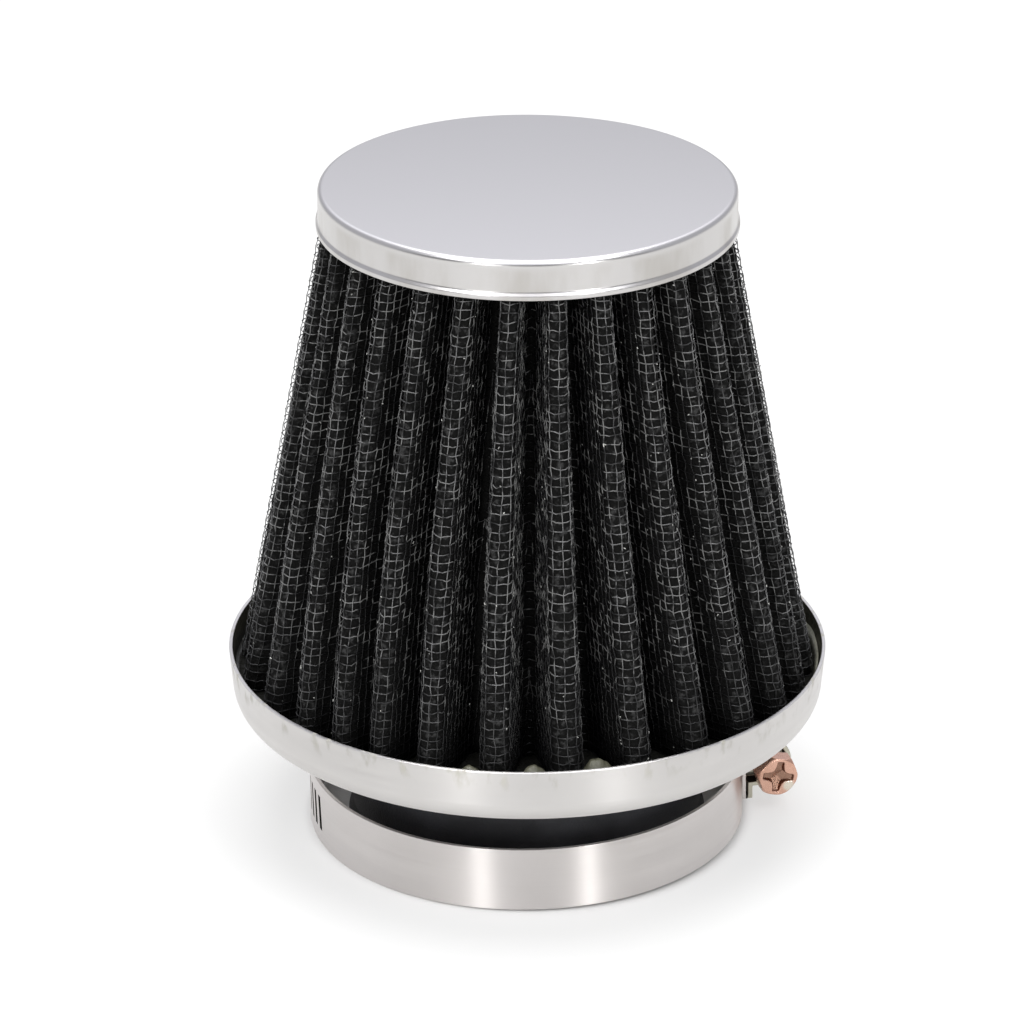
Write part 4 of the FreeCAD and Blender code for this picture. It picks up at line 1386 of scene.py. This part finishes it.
@dataclass
class WormClamp:
    """The slack worm clamp: slotted band, saddle, housing and screw."""

    band_radius: float = 35.22 * MM
    band_sheet: float = 0.65 * MM
    band_width: float = 10.6 * MM
    lap_shift: float = 0.35 * MM
    tail_angle: float = 13 * DEGREE
    fixed_end: float = 9 * DEGREE
    slot_length: float = 5.8 * MM
    slot_width: float = 1.1 * MM
    slot_pitch: float = 2.45 * MM
    slot_margin: float = 2.0 * MM
    slot_tilt: float = 6 * DEGREE
    slots_past: int = 1
    plain_step: float = 1.3 * MM
    azimuth: float = 15.5 * DEGREE
    tilt: float = 0.796 * DEGREE
    housing_length: float = 12.4 * MM
    housing_sheet: float = 0.8 * MM
    housing_mouth: float = 2.2 * MM
    neck_reach: float = 2.4 * MM
    screw_axis: float = 39.32 * MM
    thread_radius: float = 3.1 * MM
    thread_depth: float = 0.75 * MM
    neck_radius: float = 2.2 * MM
    tip_radius: float = 1.6 * MM
    tip_length: float = 0.4 * MM
    clearance: float = 0.15 * MM
    head_across: float = 6.35 * MM
    head_height: float = 3.3 * MM
    face_inset: float = 0.12 * MM
    face_crown: float = 0.35 * MM
    head_turn: float = 18 * DEGREE
    recess_reach: float = 2.7 * MM
    recess_half_width: float = 0.66 * MM
    recess_flare: float = 0.80 * MM
    recess_flare_reach: float = 1.15 * MM
    recess_slope: float = 0.30 * MM
    recess_depth: float = 1.25 * MM
    recess_rise: float = 0.68
    recess_shade: float = 0.10 * MM
    recess_turn: float = -11 * DEGREE
    # painted shade: darker plating on the faces sunk in the stamped cross
    recess_painted_shade: Colour = (0.34, 0.20, 0.145)
    recess_painted_shade_tarnish: Colour = (0.25, 0.14, 0.10)
    # where the pale painted reflection of the floor sits on the head's face, and how far it reaches
    painted_reflection_spot: Range = (1.75 * MM, -1.75 * MM)
    painted_reflection_reach: float = 1.25 * MM
    edge_round: float = 0.09 * MM
    shell_round: float = 0.15 * MM
    forward_limit: float = 0.9
    inward_limit: float = 0.5
    screw_segments: int = 192
    worm_rows: int = 121
    face_rings: int = 61
    thread_steep: float = 2.2
    thread_flat: float = 0.05
    thread_runout: float = 0.4 * MM
    head_foot: float = 0.93
    head_steps: tuple[float, ...] = (0.0, 0.12, 0.2, 0.78, 0.84, 0.89, 0.93, 0.96, 0.985, 1.0)
    crease_angle: float = 80 * DEGREE

    def frame_matrix(self) -> Matrix:
        """Return the clamp's own frame: X to the housing, Z up from the band's edge, tilted."""
        pivot = Vector((self.band_radius, 0, 0))
        tilt = Matrix.Rotation(-self.tilt, 4, "Y")
        turn = Matrix.Rotation(self.azimuth, 4, "Z")
        return turn @ Matrix.Translation(tilt @ pivot - pivot) @ tilt

    def along_band(self, distance: np.ndarray, lift: float) -> np.ndarray:
        """Follow the band from its tail.

        Args:
            distance: Distances from the tail's end.
            lift: Distance outside the band's inner face.

        Returns:
            Points (x, y) in the clamp's frame.
        """
        outer = self.band_radius + self.lap_shift
        angle = distance / outer - self.tail_angle
        past = np.maximum(angle - math.pi, 0)
        plain = math.pi + past * outer / self.band_radius
        slotted = angle <= math.pi
        turn = np.where(slotted, angle, plain)
        radius = np.where(slotted, outer, self.band_radius) - self.band_sheet + lift
        centre = np.where(slotted, self.lap_shift, 0.0)
        return np.stack([centre + radius * np.cos(turn), radius * np.sin(turn)], axis=-1)

    def band_columns(self) -> tuple[np.ndarray, np.ndarray]:
        """Divide the band along its length.

        Returns:
            The places of the dividing lines, and for each column whether it holds a slot.
        """
        outer = self.band_radius + self.lap_shift
        slotted = outer * (math.pi + self.tail_angle)
        count = int((slotted - self.slot_margin) / self.slot_pitch) + 1 + self.slots_past
        centres = self.slot_margin + np.arange(count) * self.slot_pitch
        half = self.slot_width / 2
        edges = np.stack([centres - half, centres + half], axis=-1).reshape(-1)
        total = slotted + self.band_radius * (math.pi + self.fixed_end)
        rest = np.linspace(edges[-1], total, int((total - edges[-1]) / self.plain_step) + 1)[1:]
        lines = np.concatenate([[0.0], edges, rest])
        holds = np.zeros(len(lines) - 1, bool)
        holds[1:2 * count:2] = True
        return lines, holds

    def build_band(self) -> Piece:
        """Return the band with its slanted slots, whose walls are marked for painted shade."""
        lines, holds = self.band_columns()
        margin = (self.band_width - self.slot_length) / 2
        rows = np.array([0.0, margin, self.band_width - margin, self.band_width])
        lean = math.tan(self.slot_tilt) * (rows - self.band_width / 2)
        slant = lines[:, None] - lean[None, :]
        slant[0, :] = 0.0
        slant[-1, :] = lines[-1]
        height = np.broadcast_to(rows, slant.shape)
        skins = [
            np.concatenate([self.along_band(slant, lift), height[..., None]], axis=-1)
            for lift in (0.0, self.band_sheet)
        ]
        points = np.stack(skins, axis=2).reshape(-1, 3)
        solid = np.ones((len(lines) + 1, len(rows) + 1), bool)
        solid[0, :] = solid[-1, :] = solid[:, 0] = solid[:, -1] = False
        solid[1:-1, 2] &= ~holds
        faces: list[list[int]] = []
        slot_walls: set[frozenset[int]] = set()

        def number(line: int, row: int, skin: int) -> int:
            """Return a point's number."""
            return (line * len(rows) + row) * 2 + skin

        def add_wall(first: Cell, last: Cell, cells: Sequence[Cell]) -> None:
            """Add the wall between two cells of the strip, and note it if both lie on the strip."""
            wall = [number(*first, 0), number(*last, 0), number(*last, 1), number(*first, 1)]
            faces.append(wall)
            if all(0 < line < len(lines) and 0 < row < len(rows) for line, row in cells):
                slot_walls.add(frozenset(wall))

        for line in range(len(lines)):
            for row in range(len(rows)):
                if solid[line + 1, row + 1]:
                    for skin in (0, 1):
                        around = ((line, row), (line + 1, row), (line + 1, row + 1), (line, row + 1))
                        faces.append([number(a, b, skin) for a, b in around])
                if row + 1 < len(rows) and solid[line, row + 1] != solid[line + 1, row + 1]:
                    add_wall((line, row), (line, row + 1), ((line, row + 1), (line + 1, row + 1)))
                if line + 1 < len(lines) and solid[line + 1, row] != solid[line + 1, row + 1]:
                    add_wall((line, row), (line + 1, row), ((line + 1, row), (line + 1, row + 1)))
        piece = mesh_piece("band_strip", points, faces)
        # the slot walls take painted shade
        mark_faces(piece, lambda face: frozenset(face.vertices) in slot_walls)
        piece.data.transform(self.frame_matrix())
        add_bevel(piece, self.edge_round)
        return piece

    def screw_rows(self) -> tuple[np.ndarray, np.ndarray]:
        """List the stations along the screw, from its tip to the middle of its head.

        Returns:
            Heights along its axis, and the widest radius at each; the head's face is worked in later.
        """
        rear = -(self.housing_length - self.housing_sheet - self.clearance)
        front = -(self.housing_mouth + self.housing_sheet + self.clearance)
        tip = -(self.housing_length + self.tip_length)
        worm = np.linspace(rear, front, self.worm_rows)
        pilot = [0.0, self.tip_radius, self.tip_radius]
        thread = np.full(self.worm_rows, self.thread_radius)
        height = np.concatenate([[tip, tip, rear], worm, [front, self.neck_reach]])
        radius = np.concatenate([pilot, thread, [self.neck_radius, self.neck_radius]])
        return height, radius

    def recess(self, across: np.ndarray, along: np.ndarray) -> np.ndarray:
        """Return the depth of the stamped cross at a place on the head's face."""
        cos, sin = math.cos(self.recess_turn), math.sin(self.recess_turn)
        first = np.abs(across * cos + along * sin)
        second = np.abs(along * cos - across * sin)
        reach = np.maximum(first, second)
        off = np.minimum(first, second)
        flare = self.recess_flare * np.exp(-((reach / self.recess_flare_reach) ** 2))
        wall = np.clip((self.recess_half_width + flare - off) / self.recess_slope, 0, 1)
        fade = np.clip((self.recess_reach - reach) / self.recess_slope, 0, 1)
        floor = self.recess_depth * (1 - self.recess_rise * np.clip(reach / self.recess_reach, 0, 1))
        return floor * wall * wall * (3 - 2 * wall) * fade

    def build_screw(self) -> Piece:
        """Return the screw: pilot, threaded worm, neck and hexagon head with a stamped cross."""
        segments = self.screw_segments
        angle = np.arange(segments) * (2 * math.pi / segments)
        height, radius = self.screw_rows()
        turn = angle[None, :]
        rows = np.broadcast_to(radius[:, None], (len(radius), segments)).copy()
        worm = radius == self.thread_radius
        phase = (height[:, None] / self.slot_pitch - turn / (2 * math.pi)) % 1.0
        ridge = np.clip(self.thread_steep * np.abs(phase - 0.5) - self.thread_flat, 0, 1)
        from_ends = np.minimum(height - height[worm].min(), height[worm].max() - height)
        ends = np.clip(from_ends / self.thread_runout, 0, 1)[:, None]
        rows -= np.where(worm[:, None], self.thread_depth * (1 - (1 - ridge) * ends), 0.0)
        sector = (turn - self.head_turn + math.pi / 6) % (math.pi / 3) - math.pi / 6
        hexagon = self.head_across / 2 / np.cos(sector)
        top = self.neck_reach + self.head_height
        limit = self.head_across / 2 - self.face_inset
        sides = np.array(self.head_steps) * self.head_height + self.neck_reach
        cone = limit + np.sqrt(np.maximum(top - sides, 0.0) * self.face_crown)
        base = np.minimum(1.0, self.head_foot + (sides - self.neck_reach) / self.head_height)
        head = np.minimum(hexagon * base[:, None], cone[:, None])
        face_share = np.linspace(1.0, 0.0, self.face_rings)[1:]
        level = np.concatenate([height, sides, np.full(len(face_share), top)])
        reach = np.concatenate([rows, head, head[-1:] * face_share[:, None]])
        points = np.stack([reach * np.cos(turn), reach * np.sin(turn),
                           np.broadcast_to(level[:, None], reach.shape)], axis=-1)
        face = points[-len(face_share):]
        face[:, :, 2] -= self.recess(face[:, :, 0], face[:, :, 1])
        quads = grid_quads(len(level), segments, False, True)
        piece = mesh_piece("worm_screw", points.reshape(-1, 3), quads, FINE_WELD)
        mark_faces(piece, self.in_recess)
        piece.data.transform(self.screw_frame())
        piece.data.set_sharp_from_angle(angle=self.crease_angle)
        return piece

    def in_recess(self, face: bpy.types.MeshPolygon) -> bool:
        """Say whether a face of the screw, in the screw's own frame, lies in the stamped cross."""
        across, along, level = face.center
        sunk = self.neck_reach + self.head_height - level > self.recess_shade and level > self.neck_reach
        return sunk and math.hypot(across, along) < self.recess_reach

    def looks_inside(self, face: bpy.types.MeshPolygon) -> bool:
        """Say whether a face of the housing looks forward below the screw, or towards it: these faces get
        painted shade.
        """
        turn = self.screw_frame()
        axis = turn.to_3x3() @ Vector((0, 0, 1))
        off = face.center - turn.translation
        inward = -(off - axis * off.dot(axis)).normalized()
        forward = face.normal.dot(axis) > self.forward_limit and off.z < 0
        return forward or face.normal.dot(inward) > self.inward_limit

    def screw_frame(self) -> Matrix:
        """Return the screw's place on the filter: Z out of its head."""
        spot = Matrix.Translation((self.screw_axis, -self.housing_length / 2, self.band_width / 2))
        return self.frame_matrix() @ (spot @ Matrix.Rotation(math.pi / 2, 4, "X"))

    def dress(self) -> None:
        """Build the clamp's pieces and give them their finish."""
        painted_shade = PAINTED_SHADE_STEEL.make()
        dress(self.build_band(), BAND_STEEL.make(), Body.FILTER, "clamp_band", painted_shade)
        steel = HOUSING_STEEL.make()
        for node, name in (("clamp_saddle", "saddle_channel"), ("clamp_housing", "housing_shell")):
            piece = softened_copy(node, name, self.shell_round)
            mark_faces(piece, self.looks_inside)
            dress(piece, steel, Body.FILTER, node, painted_shade)
        spot = self.screw_frame() @ Vector((*self.painted_reflection_spot, self.neck_reach + self.head_height))
        plating = PlatedFinish(painted_reflection_place=tuple(spot), painted_reflection_reach=self.painted_reflection_reach)
        # the cross's sunk faces get the darker plating, painted shade
        shaded = replace(
            plating, colour=self.recess_painted_shade, tarnish=self.recess_painted_shade_tarnish, name="recess_painted_shade_plating"
        )
        dress(self.build_screw(), plating.make(), Body.SCREW, "clamp_screw", shaded.make())


# Studio


@dataclass(frozen=True)
class Softbox:
    """A rectangular lamp that faces the filter."""

    name: str
    azimuth: float
    elevation: float
    distance: float
    width: float
    height: float
    power: float
    target: tuple[float, float, float] = (0.0, 0.0, 0.055)

    def place(self) -> None:
        """Put the lamp in the scene."""
        lamp = bpy.data.lights.new(self.name, "AREA")
        lamp.shape = "RECTANGLE"
        lamp.size = self.width
        lamp.size_y = self.height
        lamp.energy = self.power
        stand = link_object(self.name, lamp)
        level = math.cos(self.elevation)
        across, along = level * math.cos(self.azimuth), level * math.sin(self.azimuth)
        away = Vector((across, along, math.sin(self.elevation)))
        stand.location = Vector(self.target) + away * self.distance
        stand.rotation_euler = away.to_track_quat("Z", "Y").to_euler()


@dataclass
class Studio:
    """White floor and surroundings, soft lamps, and the camera at the photograph's place."""

    camera_place: tuple[float, float, float] = (-2.409 * MM, -773.607 * MM, 399.501 * MM)
    camera_pitch: float = 24.115 * DEGREE
    lens: float = 186.95
    sensor: float = 36.0
    clip: Range = (0.05, 50.0)
    floor_half: float = 6.0
    floor_colour: Colour = (0.90, 0.90, 0.90)
    floor_white: float = 0.55
    shaded_ring: Range = (34 * MM, 37 * MM)
    ambient: float = 0.45
    front_dim: float = 0.72
    front_dim_above: float = 0.20
    front_rise: Range = (0.10, 0.32)
    front_span: Range = (-0.75, -0.10)
    gloss_low: float = 0.62
    gloss_high: float = 1.50
    gloss_rise: Range = (0.27, 0.58)
    gloss_sides: Range = (0.30, 0.70)
    gloss_tint: Colour = (0.955, 0.965, 1.045)
    lamps: tuple[Softbox, ...] = (
        Softbox("overhead_box", 90 * DEGREE, 84 * DEGREE, 1.1, 0.8, 0.8, 10.0),
        Softbox("left_strip", -112 * DEGREE, 7 * DEGREE, 1.0, 0.13, 0.30, 1.15),
        Softbox("right_strip", -59 * DEGREE, 7 * DEGREE, 1.0, 0.10, 0.30, 1.25),
        Softbox("left_high", -125 * DEGREE, 50 * DEGREE, 1.2, 0.5, 0.5, 4.0),
        Softbox("right_high", -50 * DEGREE, 50 * DEGREE, 1.2, 0.5, 0.5, 3.0),
    )

    def build_floor(self) -> None:
        """Lay the floor: white to the eye, with the filter's shadow, and open from below."""
        half = self.floor_half
        points = [(-half, -half, 0), (half, -half, 0), (half, half, 0), (-half, half, 0)]
        mesh = bpy.data.meshes.new("floor")
        mesh.from_pydata(points, [], [[0, 1, 2, 3]])
        floor = link_object("floor", mesh)
        material = bpy.data.materials.new("floor_white")
        material.use_nodes = True
        tree = material.node_tree
        tree.nodes.clear()
        nodes = Nodes(tree)
        matt = nodes.add("ShaderNodeBsdfDiffuse", {"Color": (*self.floor_colour, 1.0)})
        glow = nodes.add("ShaderNodeEmission", {"Color": (1.0, 1.0, 1.0, 1.0), "Strength": 1.0})
        off = nodes.add("ShaderNodeVectorMath", {0: nodes.place()}, operation="LENGTH").outputs["Value"]
        white = nodes.spread(off, *self.shaded_ring, 0.0, self.floor_white)
        share = nodes.math("MULTIPLY", self.seen_rays(nodes), white)
        lifted = nodes.add("ShaderNodeMixShader", {0: share, 1: matt.outputs[0], 2: glow.outputs[0]})
        clear = nodes.add("ShaderNodeBsdfTransparent")
        under = nodes.add("ShaderNodeNewGeometry").outputs["Backfacing"]
        whole = nodes.add("ShaderNodeMixShader", {0: under, 1: lifted.outputs[0], 2: clear.outputs[0]})
        output = nodes.add("ShaderNodeOutputMaterial")
        tree.links.new(whole.outputs[0], output.inputs[0])
        mesh.materials.append(material)

    @staticmethod
    def seen_rays(nodes: Nodes) -> Socket:
        """Return one for rays from the eye, from gloss or through glass."""
        path = nodes.add("ShaderNodeLightPath").outputs
        direct = nodes.math("MAXIMUM", path["Is Camera Ray"], path["Is Glossy Ray"])
        return nodes.math("MAXIMUM", direct, path["Is Transmission Ray"])

    def build_world(self) -> None:
        """Surround the filter with white, dimmer for gloss low on the viewer's side of the room."""
        world = bpy.data.worlds.new("surroundings")
        bpy.context.scene.world = world
        world.use_nodes = True
        tree = world.node_tree
        tree.nodes.clear()
        nodes = Nodes(tree)
        way = nodes.add("ShaderNodeTexCoord").outputs["Generated"]
        parts = nodes.add("ShaderNodeSeparateXYZ", {0: way}).outputs
        low_dim = nodes.spread(parts[2], *self.front_rise, self.front_dim, self.front_dim_above)
        dim = nodes.spread(parts[1], *self.front_span, low_dim, 0.0)
        gloss = nodes.add("ShaderNodeLightPath").outputs["Is Glossy Ray"]
        aside = nodes.math("ABSOLUTE", parts[0])
        highest = nodes.spread(aside, *self.gloss_sides, self.gloss_high, self.gloss_low)
        level = nodes.spread(parts[2], *self.gloss_rise, self.gloss_low, highest)
        bright = nodes.between(gloss, 1.0, level)
        room = nodes.math("SUBTRACT", bright, nodes.math("MULTIPLY", dim, gloss))
        strength = nodes.between(self.seen_rays(nodes), self.ambient, room)
        tint = nodes.mix(gloss, (1.0, 1.0, 1.0), self.gloss_tint)
        sky = nodes.add("ShaderNodeBackground", {"Color": tint, "Strength": strength})
        output = nodes.add("ShaderNodeOutputWorld")
        tree.links.new(sky.outputs[0], output.inputs[0])

    def build_camera(self) -> None:
        """Set the camera at the photograph's place."""
        data = bpy.data.cameras.new("photo_camera")
        data.sensor_width = self.sensor
        data.lens = self.lens
        data.clip_start, data.clip_end = self.clip
        camera = link_object("photo_camera", data)
        camera.location = self.camera_place
        camera.rotation_euler = (math.pi / 2 - self.camera_pitch, 0.0, 0.0)
        bpy.context.scene.camera = camera

    def build(self) -> None:
        """Build the studio."""
        bpy.context.scene.view_settings.view_transform = "Standard"
        self.build_camera()
        self.build_floor()
        self.build_world()
        for lamp in self.lamps:
            lamp.place()


def main() -> None:
    """Build and dress the whole filter."""
    logging.basicConfig(level=logging.INFO, format="%(name)s %(message)s")
    Studio().build()
    EndPlates().dress()
    PleatedPack().dress()
    Neck().dress()
    WormClamp().dress()


if __name__ == "__main__":
    main()
